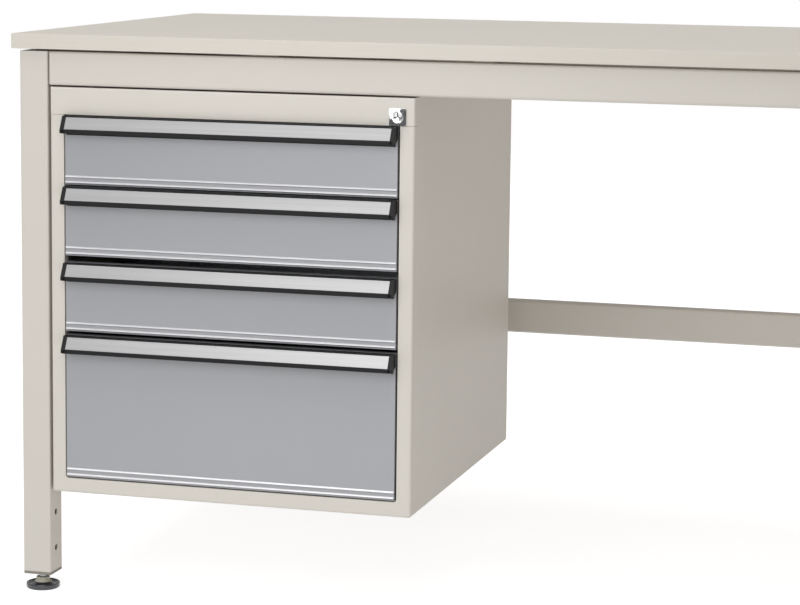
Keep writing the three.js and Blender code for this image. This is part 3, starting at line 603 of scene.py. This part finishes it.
# %% Round, thicken, bore, copy and finish
def round_edges(piece, radius, steps, test):
    """Rounds the edges that pass the test."""
    pick(piece, "EDGE", test)
    bpy.ops.mesh.bevel(offset=radius, segments=steps, profile=0.5, affect="EDGES", clamp_overlap=True)
    take(piece)


def thicken(piece, sheet):
    """Gives a sheet its wall, grown away from the side that it faces."""
    take(piece)
    wall = piece.modifiers.new("wall", "SOLIDIFY")
    wall.thickness = sheet
    wall.offset = -1
    wall.use_even_offset = True
    bpy.ops.object.modifier_apply(modifier=wall.name)
    return piece


def bore(piece, axis, centre, radius, start, end, steps=32):
    """Cuts a round hole along the axis."""
    take(None)
    turn = {"X": (0, math.pi / 2, 0), "Y": (math.pi / 2, 0, 0), "Z": (0, 0, 0)}[axis]
    middle = spot(axis, (start + end) / 2, *centre)
    bpy.ops.mesh.primitive_cylinder_add(
        vertices=steps, radius=radius, depth=end - start, location=middle, rotation=turn
    )
    return carve(piece, settle("drill"))


def carve(piece, tool):
    """Cuts the tool's shape out of the piece and throws the tool away."""
    take(piece)
    cut = piece.modifiers.new("cut", "BOOLEAN")
    cut.operation = "DIFFERENCE"
    cut.solver = "EXACT"
    cut.object = tool
    bpy.ops.object.modifier_apply(modifier=cut.name)
    bpy.data.objects.remove(tool)
    return piece


def merge(piece, *others):
    """Joins other pieces into this one."""
    take(piece)
    for other in others:
        other.select_set(True)
    bpy.ops.object.join()
    return piece


def copy(piece, name, shift, mirror_x=None):
    """A copy with its own mesh, moved, and mirrored too where a plane is given."""
    take(piece)
    bpy.ops.object.duplicate(linked=False)
    made = settle(name)
    everything(made)
    bpy.ops.transform.translate(value=shift)
    if mirror_x is not None:
        bpy.ops.transform.resize(value=(-1, 1, 1), center_override=(mirror_x, 0, 0))
        bpy.ops.mesh.normals_make_consistent(inside=False)
    return take(made)


def soften(piece, width, steps=2, angle=35):
    """Breaks every sharp edge slightly and shades the rest smooth."""
    take(piece)
    edge = piece.modifiers.new("edge", "BEVEL")
    edge.width = width
    edge.segments = steps
    edge.limit_method = "ANGLE"
    edge.angle_limit = math.radians(angle)
    bpy.ops.object.modifier_apply(modifier=edge.name)
    return smooth(piece)


def smooth(piece, angle=40):
    """Shades the piece smooth, with each flat kept flat right up to its rounded edges."""
    take(piece)
    bpy.ops.object.shade_smooth_by_angle(angle=math.radians(angle))
    flats = piece.modifiers.new("flats", "WEIGHTED_NORMAL")
    flats.keep_sharp = True
    bpy.ops.object.modifier_apply(modifier=flats.name)
    return piece


def hand_over(piece, finish, body="frame", nodes=()):
    """Gives a finished piece its finish and its body, and hides the imported parts that it stands for."""
    if finish:
        piece.data.materials.clear()
        piece.data.materials.append(finish.material)
    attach(piece, body)
    if nodes:
        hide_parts(*nodes)
    print(piece.name, len(piece.data.polygons), "faces, for", *(nodes or ["nothing"]))
    return piece


print("shaping tools are ready")

# %% [markdown]
# ## The worktop
#
# The real top is a chipboard core with laminate on both faces and a thin plastic band glued round its
# edge. It could be a plain box with a bump map, but the seam between laminate and band and the softly
# broken edge are shapes, and they catch the light. So a box gets its upright corners rounded, its two
# faces inset by the band's thickness, and a hair-fine groove pressed along that line.

# %% Make the worktop
BAND_THICKNESS = 1.5 * MM
BAND_GROOVE = 0.35 * MM
GROOVE_DEPTH = 0.12 * MM
TOP_CORNER = 2 * MM
TOP_EDGE = 0.7 * MM

top_low, top_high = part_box("worktop")
worktop = block("worktop_board", top_low, top_high)
round_edges(worktop, TOP_CORNER, 5, upright)
pick(worktop, "FACE", upright)
bpy.ops.mesh.inset(thickness=BAND_THICKNESS)
bpy.ops.mesh.inset(thickness=BAND_GROOVE, depth=-GROOVE_DEPTH)
soften(worktop, TOP_EDGE, 3, 60)
hand_over(worktop, laminate, nodes=["worktop"])
worktop.data.materials.append(band.material)
face_low = top_low + Vector((BAND_THICKNESS, BAND_THICKNESS, 0))
face_high = top_high - Vector((BAND_THICKNESS, BAND_THICKNESS, 0))
for face in worktop.data.polygons:
    inside = all(face_low[n] < face.center[n] < face_high[n] for n in (0, 1))
    face.material_index = int(not inside)
for side in ("left", "right"):
    hand_over(frame["nodes"][f"packing_strip_{side}"], packing_rubber)
print("edge band faces:", sum(face.material_index for face in worktop.data.polygons))

# %% [markdown]
# ## The legs
#
# A leg is a square steel tube. A box would look solid at the holes and at its ends, so the box is made
# a tube in the way that a tube is pictured: both end faces are inset by the wall's thickness and the
# two inner faces are bridged, which leaves a bore from end to end. Two holes for a footrest or a
# shelf are then drilled through the inner wall. One leg is made; the others are copies.

# %% Make one leg and copy it
TUBE_WALL = 2 * MM
TUBE_CORNER = 2.5 * MM
HOLE_RADIUS = 4.5 * MM
HOLE_HEIGHTS = (57 * MM, 107 * MM)
LEG_EDGE = 0.3 * MM
FIRST_LEG = "front_left"
OTHER_LEGS = ("rear_left", "front_right", "rear_right")


def place_copies(piece, node, finish, body="frame", stands=True):
    """Hands over a front left part and its three copies; the right ones are mirrored.

    The first part goes last, so that the copies are made from it before it is handed over."""
    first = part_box(node.format(FIRST_LEG))[0]
    middle = (first.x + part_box(node.format("front_right"))[1].x) / 2
    for leg in (*OTHER_LEGS, FIRST_LEG):
        made = piece
        if leg != FIRST_LEG:
            back = (0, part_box(node.format(leg))[0].y - first.y, 0)
            name = piece.name.replace(FIRST_LEG, leg)
            made = smooth(copy(piece, name, back, middle if "right" in leg else None))
        hand_over(made, finish, body.format(leg), [node.format(leg)] if stands else ())


tube_low, tube_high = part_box("leg_front_left")
leg = block("leg_front_left_tube", tube_low, tube_high)
round_edges(leg, TUBE_CORNER, 6, upright)
pick(leg, "FACE", upright)
bpy.ops.mesh.inset(thickness=TUBE_WALL)
bpy.ops.mesh.bridge_edge_loops()
leg_middle = (tube_low.y + tube_high.y) / 2
for rise in HOLE_HEIGHTS:
    bore(leg, "X", (leg_middle, rise), HOLE_RADIUS, tube_high.x - 2 * TUBE_WALL, tube_high.x + TUBE_WALL)
soften(leg, LEG_EDGE)
place_copies(leg, "leg_{}", frame_paint)

# %% [markdown]
# ## Caps and levelling feet
#
# A plastic cap closes each leg, and a screw foot turns in it. The foot is a turned shape, so its
# outline is drawn once and spun: a wide dark pad with a raised rim and a flared crown, a cream collar
# with a shoulder, and a threaded stem. The thread is drawn as a row of ridges.

# %% Make the leg caps
CAP_EDGE = 0.8 * MM
CAP_PLAY = 0.3 * MM
STEM_HOLE = 5.3 * MM

cap_low, cap_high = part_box("leg_cap_front_left")
cap_middle = ((cap_low.x + cap_high.x) / 2, (cap_low.y + cap_high.y) / 2)
cap = block("leg_cap_front_left_plug", cap_low, (cap_high.x, cap_high.y, tube_low.z))
round_edges(cap, TUBE_CORNER, 6, upright)
pick(cap, "FACE", lambda where, way: way.z > ALIGNED)
bpy.ops.mesh.inset(thickness=TUBE_WALL + CAP_PLAY)
pull("Z", cap_high.z - tube_low.z)
round_edges(cap, CAP_EDGE, 3, lambda where, way: near(where.z, cap_low.z))
bore(cap, "Z", cap_middle, STEM_HOLE, cap_low.z - MM, cap_high.z + MM)
smooth(cap)
place_copies(cap, "leg_cap_{}", cap_plastic)

# %% Spin the foot's pad, collar and stem
SPIN_STEPS = 48
FOOT_EDGE = 0.25 * MM


def spin_round(piece, centre, axis):
    """Spins an outline full circle, closes its seam and turns its faces outwards."""
    everything(piece)
    bpy.ops.mesh.spin(steps=SPIN_STEPS, angle=math.tau, center=centre, axis=axis)
    bpy.ops.mesh.select_all(action="SELECT")
    bpy.ops.mesh.remove_doubles(threshold=SAME_SPOT)
    bpy.ops.mesh.normals_make_consistent(inside=False)
    return piece


def spun(name, outline):
    """A turned part of the foot: an outline of radius and height in millimetres, spun upright."""
    x, y = cap_middle
    piece = draw(name, "Y", y, [(x + radius * MM, height * MM) for radius, height in outline])
    return spin_round(piece, (x, y, 0), (0, 0, 1))


PAD = [(0, 0), (21.4, 0), (22.6, 1), (23, 2.2), (23, 6), (22.6, 6.9), (21.8, 7.2), (21, 6.8), (20.3, 5.6),
       (19.2, 4.9), (17, 5.1), (14.6, 5.9), (12.5, 7.2), (11.2, 8.6), (0, 8.6)]
COLLAR = [(0, 8.4), (11.4, 8.4), (11.6, 8.9), (10.4, 9.4), (9.2, 10.3), (8.6, 11.6), (8.4, 12.9), (9.2, 13.5),
          (9.2, 14.7), (8.6, 15.2), (6, 15.2), (5.6, 14.6), (0, 14.6)]
STEM_LOW = 14.7
THREAD_PITCH = 1.5
THREAD_RADIUS = 5.0
THREAD_DEPTH = 0.75
THREAD_LOW = 18.5
THREAD_RUNOUT = 0.6
THREAD_HIGH = 74.0

pad = soften(spun("levelling_foot_front_left_pad", PAD), FOOT_EDGE, 2, 30)
collar = soften(spun("levelling_foot_front_left_collar", COLLAR), FOOT_EDGE, 2, 30)
thread = [(0, STEM_LOW), (THREAD_RADIUS, STEM_LOW), (THREAD_RADIUS, THREAD_LOW - THREAD_RUNOUT)]
for turn in range(int((THREAD_HIGH - THREAD_LOW) / THREAD_PITCH)):
    foot_of_ridge = THREAD_LOW + turn * THREAD_PITCH
    thread.append((THREAD_RADIUS - THREAD_DEPTH, foot_of_ridge))
    thread.append((THREAD_RADIUS, foot_of_ridge + THREAD_PITCH / 2))
thread += [(THREAD_RADIUS - 1, THREAD_HIGH), (0, THREAD_HIGH)]
stem = smooth(spun("levelling_foot_front_left_stem", thread))
place_copies(stem, "levelling_foot_{}", zinc, "foot_{}", False)
place_copies(collar, "levelling_foot_{}", collar_plastic, "foot_{}", False)
place_copies(pad, "levelling_foot_{}", foot_plastic, "foot_{}")

# %% [markdown]
# ## The frame's rails
#
# Aprons, side rails and stretchers are channels folded from sheet. A fold has a round outside, which
# draws the thin bright line along the lower edge of an apron, so each one is made as it is in the
# shop: a flat path is pulled to length, its bends are rounded, and then the sheet gets its thickness.

# %% Fold the rails
RAIL_SHEET = 1.6 * MM
RAIL_BEND = 4 * MM
PLATE_REACH = 6 * MM
PLATE_SETBACK = 6 * MM
APRON_GAP = 3 * MM
RAIL_EDGE = 0.25 * MM


def channel(node, axis, inward, trim=0):
    """A folded channel in a part's box; inward, 1 or -1, is the way that its flanges point."""
    low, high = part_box(node)
    across, along = ("y", "x") if axis == "X" else ("x", "y")
    web, mouth = (getattr(low, across), getattr(high, across))[::inward]
    path = [(mouth, high.z), (web, high.z), (web, low.z), (mouth, low.z)]
    start, end = getattr(low, along) + trim, getattr(high, along) - trim
    return folded(f"{node}_channel", axis, start, end, path, (0, 0, 1), RAIL_SHEET, RAIL_BEND)


def apron(node, inward):
    """An apron: its channel stops short of the legs, and end plates bridge the gap."""
    low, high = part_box(node)
    rail = channel(node, "X", inward, APRON_GAP)
    near_side, far_side = (low.y + PLATE_SETBACK, high.y) if inward > 0 else (low.y, high.y - PLATE_SETBACK)
    inset = RAIL_SHEET / 2
    for end, start in (("left", low.x), ("right", high.x - PLATE_REACH)):
        corner = (start, near_side, low.z + inset)
        plate = block(f"{node}_{end}_plate", corner, (start + PLATE_REACH, far_side, high.z - inset))
        merge(rail, plate)
    return rail


rails = {
    "front_apron": apron("front_apron", 1),
    "rear_apron": apron("rear_apron", -1),
    "rear_stretcher": channel("rear_stretcher", "X", 1),
}
for part in ("side_rail", "side_stretcher"):
    for side, inward in (("left", 1), ("right", -1)):
        rails[f"{part}_{side}"] = channel(f"{part}_{side}", "Y", inward)
for node, rail in rails.items():
    hand_over(soften(rail, RAIL_EDGE), frame_paint, nodes=[node])
for side in ("left", "right"):
    hand_over(frame["nodes"][f"hanger_rail_{side}"], frame_paint)

# %% [markdown]
# ## The cabinet
#
# The cabinet's sides, floor and front rim are welded and painted, so that they read as one skin: no
# seam shows at the lower corners of the opening. Made as one folded sheet, it gets that skin at once.
# A box has its front corners and lower edge rounded, then loses its top and back. The front is cut
# along the opening's lines, the middle is taken out, and the rim that is left is folded inwards.

# %% Fold the cabinet's shell
CABINET_SHEET = 1.2 * MM
CABINET_BEND = 3.5 * MM
RIM_RETURN = 14 * MM
RIM_WIDTH = 19.5 * MM
OPENING_CORNER = 4 * MM
SEAM = 0.3 * MM
FASCIA_RETURN = 16 * MM
DRAWER_GAP = 1.5 * MM
PANEL_EDGE = 0.3 * MM

side_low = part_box("cabinet_side_left")[0]
side_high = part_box("cabinet_side_right")[1]
fascia_low, fascia_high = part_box("cabinet_fascia")
opening_left = side_low.x + RIM_WIDTH
opening_right = side_high.x - RIM_WIDTH
opening_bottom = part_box("drawer_4_front")[0].z - DRAWER_GAP
shell_top = fascia_low.z - SEAM
wall_front = side_low.y + FASCIA_RETURN + SEAM


def slice_at(piece, where, facing):
    """Cuts new edges right across the piece, along a plane."""
    everything(piece)
    bpy.ops.mesh.bisect(plane_co=where, plane_no=facing)
    take(piece)


shell = block("cabinet_shell", side_low, (side_high.x, side_high.y, shell_top))
pick(shell, "FACE", lambda where, way: way.z > ALIGNED or way.y > ALIGNED)
bpy.ops.mesh.delete(type="FACE")
slice_at(shell, (opening_left, 0, 0), (1, 0, 0))
slice_at(shell, (opening_right, 0, 0), (1, 0, 0))
slice_at(shell, (0, 0, opening_bottom), (0, 0, 1))
slice_at(shell, (0, wall_front, 0), (0, 1, 0))


def across_opening(where):
    return opening_left < where.x < opening_right


def beside_opening(where):
    return near(where.x, opening_left) or near(where.x, opening_right)


def opening_middle(where, way):
    return way.y < -ALIGNED and across_opening(where) and where.z > opening_bottom


def opening_rim(where, way):
    """The edges of the front that bound the opening on its left, right and lower sides."""
    upright_rim = beside_opening(where) and where.z > opening_bottom and upright(where, way)
    lower_rim = across_opening(where) and near(where.z, opening_bottom) and abs(way.x) > ALIGNED
    return near(where.y, side_low.y) and (upright_rim or lower_rim)


pick(shell, "FACE", opening_middle)
bpy.ops.mesh.delete(type="FACE")
pick(shell, "EDGE", opening_rim)
pull("Y", RIM_RETURN)
pick(shell, "EDGE", lambda where, way: near(where.z, shell_top) and where.y > wall_front + MM)
pull("Z", fascia_high.z - shell_top)


def opening_corner(where, way):
    in_corner = beside_opening(where) and near(where.z, opening_bottom)
    return in_corner and abs(way.y) > ALIGNED and where.y < side_low.y + RIM_RETURN


def outer_fold(where, way):
    on_front = near(where.y, side_low.y)
    at_side = near(where.x, side_low.x) or near(where.x, side_high.x)
    at_bottom = near(where.z, side_low.z)
    return (on_front and (at_side or at_bottom)) or (at_side and at_bottom and abs(way.y) > ALIGNED)


round_edges(shell, OPENING_CORNER, 5, opening_corner)
round_edges(shell, CABINET_BEND, 5, outer_fold)
print("shell has", len(shell.data.polygons), "faces before its wall")
thicken(shell, CABINET_SHEET)
soften(shell, PANEL_EDGE, 2, 50)
hand_over(shell, cabinet_paint,
          nodes=["cabinet_side_left", "cabinet_side_right", "cabinet_bottom"])

# %% [markdown]
# ## The fascia over the drawers
#
# The fascia is a shallow cap across the top of the opening. Its ends meet the shell at a fine seam, and
# its corners and upper edge are folded round. It is made from a box in the same way as the shell, and
# drilled for the lock.

# %% Fold the fascia, and dress the flat panels
FASCIA_TOP_BEND = 3 * MM
LOCK_BORE = 7.3 * MM

fascia = block("cabinet_fascia_cap", fascia_low, fascia_high)
pick(fascia, "FACE", lambda where, way: way.y > ALIGNED)
bpy.ops.mesh.delete(type="FACE")


def fascia_fold(where, way):
    return near(where.y, fascia_low.y) and (upright(where, way) or near(where.z, fascia_high.z))


round_edges(fascia, FASCIA_TOP_BEND, 5, fascia_fold)
thicken(fascia, CABINET_SHEET)
plate_low, plate_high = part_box("lock_plate")
lock_x = (plate_low.x + plate_high.x) / 2
lock_z = (plate_low.z + plate_high.z) / 2
bore(fascia, "Y", (lock_x, lock_z), LOCK_BORE, fascia_low.y - MM, fascia_low.y + 3 * MM)
soften(fascia, PANEL_EDGE, 2, 50)
hand_over(fascia, cabinet_paint, nodes=["cabinet_fascia"])
for panel in ("cabinet_top", "cabinet_back"):
    hand_over(frame["nodes"][panel], cabinet_paint)

# %% [markdown]
# ## Drawer fronts
#
# Each front is a shallow pan of silver-painted sheet. Near its lower edge a ridge is pressed across it
# and below that the sheet is rolled into a lip; both catch a bright line. A bump map would not move the
# outline or throw a shadow, so the front face is cut into strips and two of them are drawn out,
# narrowed and rounded. The back is inset and pushed in, which leaves the pan's rim.

# %% Press the drawer fronts
PAN_DEPTH = 14 * MM
PAN_SHEET = 1.2 * MM
PAN_BEND = 0.8 * MM
BEAD_WIDTH = 3.6 * MM
RIDGE_RISE = 9 * MM
RIDGE_PROUD = 1.5 * MM
LIP_RISE = 1.5 * MM
LIP_PROUD = 1.7 * MM
BEAD_TAPER = 0.25
BEAD_ROUND = 0.4 * MM
DRAWERS = (1, 2, 3, 4)


def front_box(number):
    """The corners of a drawer front without its lip: the flat face is the lower Y."""
    low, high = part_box(f"drawer_{number}_front")
    low.y = high.y - PAN_DEPTH
    return low, high


def bead(piece, face_y, bottom, proud):
    """Draws out the strip of the front between bottom and bottom + BEAD_WIDTH, narrowed and round."""
    top = bottom + BEAD_WIDTH
    slice_at(piece, (0, 0, bottom), (0, 0, 1))
    slice_at(piece, (0, 0, top), (0, 0, 1))
    pick(piece, "FACE", lambda where, way: way.y < -0.99 and bottom < where.z < top)
    pull("Y", -proud)
    bpy.ops.transform.resize(value=(1, 1, BEAD_TAPER), center_override=(0, 0, (bottom + top) / 2))

    def crest(where, way):
        return abs(way.x) > ALIGNED and bottom < where.z < top and where.y < face_y - proud / 2

    round_edges(piece, BEAD_ROUND, 3, crest)


def drawer_front(number):
    low, high = front_box(number)
    piece = block(f"drawer_{number}_front_pan", low, high)
    pick(piece, "FACE", lambda where, way: way.y > ALIGNED)
    bpy.ops.mesh.inset(thickness=PAN_SHEET)
    pull("Y", PAN_SHEET - PAN_DEPTH)
    round_edges(piece, PAN_BEND, 3, lambda where, way: near(where.y, low.y))
    bead(piece, low.y, low.z + RIDGE_RISE, RIDGE_PROUD)
    bead(piece, low.y, low.z + LIP_RISE, LIP_PROUD)
    return smooth(piece, 35)


def brighten_ridges(piece, face_y):
    """Paints a highlight on the upward and outward sides of the ridges, where the light catches them."""
    piece.data.materials.append(ridge_highlight_coat.material)
    for face in piece.data.polygons:
        if face.center.y < face_y - BEAD_ROUND and face.normal.z > -0.2 and abs(face.normal.x) < 0.5:
            face.material_index = 1


for number in DRAWERS:
    front = drawer_front(number)
    hand_over(front, drawer_paint, f"drawer_{number}", [f"drawer_{number}_front"])
    brighten_ridges(front, front_box(number)[0].y)

# %% [markdown]
# ## Handles
#
# A handle is a black plastic moulding with a hooked lip for the fingers, closed by an end cap at each
# side, and an aluminium strip let into its sloping face. All of it has one section along the drawer,
# so the section is drawn and pulled. The end caps are separate, a little proud, with rounder corners.

# %% Draw the handle's sections
HANDLE_DEPTH = 9.5 * MM
SLOPE_OUT = 8.3 * MM
SLOPE_DOWN = 15.4 * MM
TOP_BAND = 1.8 * MM
STRIP_THICKNESS = 1.5 * MM
GRIP_WALL = 2 * MM
LIP_DROP = 5.8 * MM
NOSE_PROUD = 0.7 * MM
LIP_DEPTH = 3 * MM
FLANGE = 2.5 * MM
FLANGE_DROP = 26 * MM
END_CAP = 6 * MM
CAP_HEEL = 17 * MM
CAP_ROUND = 1.6 * MM
GRIP_EDGE = 0.35 * MM
END_CAP_EDGE = 0.4 * MM
STRIP_EDGE = 0.25 * MM


def handle_points(number):
    """The corners that the handle's three sections share, in (y, z)."""
    low, high = front_box(number)
    face, top = low.y, high.z
    slope_top = Vector((face - HANDLE_DEPTH, top - TOP_BAND))
    slope_end = slope_top + Vector((-SLOPE_OUT, -SLOPE_DOWN))
    inward = Vector((SLOPE_DOWN, -SLOPE_OUT)).normalized()
    seat = [corner + inward * STRIP_THICKNESS for corner in (slope_top, slope_end)]
    rear = [corner + inward * (STRIP_THICKNESS + GRIP_WALL) for corner in (slope_top, slope_end)]
    return face, top, slope_top, slope_end, seat, rear


def handle_grip(number):
    low, high = front_box(number)
    face, top, slope_top, slope_end, seat, rear = handle_points(number)
    nose = slope_end.x - NOSE_PROUD
    lip_end = slope_end.y - LIP_DROP
    under = top - GRIP_WALL - TOP_BAND
    crown = [(face, top), (slope_top.x, top), tuple(slope_top)]
    lip = [(nose, slope_end.y - MM), (nose, lip_end), (nose + LIP_DEPTH, lip_end)]
    flange = [(rear[0].x, under), (face - FLANGE, under), (face - FLANGE, top - FLANGE_DROP)]
    outline = [*crown, tuple(seat[0]), tuple(seat[1]), tuple(slope_end), *lip, tuple(rear[1]), *flange,
               (face, top - FLANGE_DROP)]
    body = bar(f"drawer_{number}_grip", "X", low.x + END_CAP / 2, high.x - END_CAP / 2, outline)
    soften(body, GRIP_EDGE, 2, 20)
    cap_outline = [*crown, tuple(slope_end), *lip, (face, top - CAP_HEEL)]
    for side, start in (("left", low.x), ("right", high.x - END_CAP)):
        cap = bar(f"drawer_{number}_end_{side}", "X", start, start + END_CAP, cap_outline)
        corners = [(slope_top.x, top), (nose, lip_end), (nose + LIP_DEPTH, lip_end)]
        round_edges(cap, CAP_ROUND, 5, is_fold("X", corners))
        merge(body, soften(cap, END_CAP_EDGE, 3, 30))
    return smooth(body, 35)


def handle_strip(number):
    low, high = front_box(number)
    _, _, slope_top, slope_end, seat, _ = handle_points(number)
    outline = [tuple(corner) for corner in (slope_top, slope_end, seat[1], seat[0])]
    strip = bar(f"drawer_{number}_strip", "X", low.x + END_CAP, high.x - END_CAP, outline)
    return soften(strip, STRIP_EDGE, 3, 30)


for number in DRAWERS:
    body = f"drawer_{number}"
    hand_over(handle_grip(number), grip_plastic, body, [f"{body}_handle_grip"])
    hand_over(handle_strip(number), aluminium, body, [f"{body}_handle_strip"])

# %% [markdown]
# ## The lock
#
# The lock's square plate and its cylinder are chromed. The plate has rounded corners, and it is not
# quite flat: polishing has taken a thin wedge off one corner, so that its two halves mirror different
# parts of the room. A block with a leaning face takes that wedge off.
#
# The cylinder is turned: a rim, a cone that leads the key in, and a flat core with the key's slot cut
# into its upper half. It turns with the key, so it rides on its own body.

# %% Make the lock's plate and cylinder
PLATE_CORNER = 2.5 * MM
PLATE_EDGE = 0.2 * MM
PLATE_TILT = math.radians(2.4)
WEDGE_REACH = 20 * MM
WEDGE_SHIFT = 3 * MM
HEAD_RADIUS = 7.6
HEAD_PLAY = 0.3
CORE_RADIUS = 5.4
HEAD_PROUD = 3 * MM
BARREL_RADIUS = 7.0
KEY_SLOT = (1.7 * MM, 6 * MM, 6.2 * MM)
KEY_SLOT_RISE = 2.3 * MM

plate = block("lock_plate_square", plate_low, plate_high)
round_edges(plate, PLATE_CORNER, 6, lambda where, way: abs(way.y) > ALIGNED)
lean = 2 * WEDGE_REACH * math.tan(PLATE_TILT) / math.sqrt(2)
lock_front = Vector((lock_x - WEDGE_SHIFT, plate_low.y, lock_z + WEDGE_SHIFT))
reach = Vector((WEDGE_REACH, 0, WEDGE_REACH))
wedge = block("wedge", lock_front - reach - Vector((0, WEDGE_REACH, 0)), lock_front + reach)
for side, step in ((-1, lean), (1, -lean)):
    corner = lock_front + Vector((side * WEDGE_REACH, 0, -side * WEDGE_REACH))
    pick(wedge, "VERT", lambda where, way: (where - corner).length < MM)
    bpy.ops.transform.translate(value=(0, step, 0))
carve(plate, wedge)
head_hole = (HEAD_RADIUS + HEAD_PLAY) * MM
bore(plate, "Y", (lock_x, lock_z), head_hole, plate_low.y - MM, plate_high.y + MM, SPIN_STEPS)
soften(plate, PLATE_EDGE, 3, 40)
hand_over(plate, chrome, nodes=["lock_plate"])

head_front = fascia_low.y - HEAD_PROUD
length = (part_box("lock_cam")[0].y - head_front) / MM
profile = [(0, 2.5), (0.5, 2.5), (CORE_RADIUS - 0.3, 1.1), (CORE_RADIUS, 1.6), (HEAD_RADIUS - 1.1, 0.1),
           (HEAD_RADIUS - 0.5, 0), (HEAD_RADIUS, 0.5), (HEAD_RADIUS, 2.6), (BARREL_RADIUS, 2.7),
           (BARREL_RADIUS, length), (0, length)]
outline = [(lock_x + radius * MM, head_front + depth * MM) for radius, depth in profile]
cylinder = draw("lock_cylinder_turned", "Z", lock_z, outline)
spin_round(cylinder, (lock_x, 0, lock_z), (0, 1, 0))
slot_middle = Vector((lock_x, head_front + KEY_SLOT[1] / 2, lock_z + KEY_SLOT_RISE))
half_slot = Vector(KEY_SLOT) / 2
carve(cylinder, block("key_slot", slot_middle - half_slot, slot_middle + half_slot))
smooth(cylinder, 30)
hand_over(cylinder, chrome, "lock_cylinder", ["lock_cylinder"])

# %% [markdown]
# ## Trays
#
# A tray is one sheet folded up into four walls. Its upper edges are turned in and down again, so that
# they don't cut the hand, and a rail on each side runs in the slide. Plain box walls would show raw
# edges as soon as a drawer opens. So a box gets its corners rounded and loses its top, and the open
# edge is drawn inwards and then down into a hem, before the sheet gets its thickness.

# %% Fold the trays
TRAY_SHEET = 1.2 * MM
TRAY_BEND = 2.5 * MM
HEM_WIDTH = 7 * MM
HEM_DROP = 5 * MM
HEM_BEND = 1.6 * MM
TRAY_EDGE = 0.2 * MM
RAIL_REACH = 11.5 * MM
RAIL_RAISE = 5.8 * MM
RAIL_HEIGHT = 20.4 * MM
LOCK_TAB = Vector((11.6, 4, 10)) * MM
LOCK_TAB_RAISE = 32 * MM
LOCK_TAB_GAP = 2 * MM
LOCK_TAB_PLAY = 0.5 * MM


def tray_shell(name, low, high):
    """A folded tray with a hem all round its open edge."""
    shell = block(name, low, high)
    round_edges(shell, TRAY_BEND, 5, lambda where, way: upright(where, way) or near(where.z, low.z))
    pick(shell, "FACE", lambda where, way: way.z > ALIGNED)
    bpy.ops.mesh.delete(type="FACE")
    pick(shell, "EDGE", lambda where, way: near(where.z, high.z))
    size = high - low
    narrower = (1 - 2 * HEM_WIDTH / size.x, 1 - 2 * HEM_WIDTH / size.y, 1)
    bpy.ops.mesh.extrude_region_move()
    bpy.ops.transform.resize(value=narrower, center_override=(low + high) / 2)
    pull("Z", -HEM_DROP)

    def fold(where, way):
        inside = min(where.x - low.x, high.x - where.x, where.y - low.y, high.y - where.y)
        return near(where.z, high.z) and (inside < MM or inside > HEM_WIDTH - MM)

    round_edges(shell, HEM_BEND, 3, fold)
    everything(shell)
    bpy.ops.mesh.normals_make_consistent(inside=False)
    return thicken(shell, TRAY_SHEET)


def tray(number):
    low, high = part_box(f"drawer_{number}_tray")
    slide_low, slide_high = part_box(f"runner_{number}_left")
    reach = Vector((RAIL_REACH, 0, 0))
    shell = tray_shell(f"drawer_{number}_tray_folded", low + reach, high - reach)
    rail_low = low.z + RAIL_RAISE
    rail_high = rail_low + RAIL_HEIGHT
    for wall, mouth in ((low.x + RAIL_REACH, low.x), (high.x - RAIL_REACH, high.x)):
        path = [(mouth, rail_high), (wall, rail_high), (wall, rail_low), (mouth, rail_low)]
        rail = folded("rail", "Y", slide_low.y, slide_high.y, path, (0, 0, 1), TRAY_SHEET, HEM_BEND)
        merge(shell, rail)
    tab_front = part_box("lock_bar")[1].y + LOCK_TAB_GAP
    tab_low = Vector((high.x - LOCK_TAB.x - LOCK_TAB_PLAY, tab_front, low.z + LOCK_TAB_RAISE))
    merge(shell, block("lock_tab", tab_low, tab_low + LOCK_TAB))
    return soften(shell, TRAY_EDGE, 2, 50)


for number in DRAWERS:
    hand_over(tray(number), zinc, f"drawer_{number}", [f"drawer_{number}_tray"])

# %% [markdown]
# ## Slides and the lock's inner parts
#
# The fixed slides, the lock's cam and its bar are plain folded or flat steel. Their shapes come over
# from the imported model, where every bend and lug is already in place. They need only their finish.

# %% Dress the inner parts
for node, inner in frame["nodes"].items():
    if node.startswith("runner_") or node in ("lock_bar", "lock_cam"):
        hand_over(inner, zinc, inner["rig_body"])
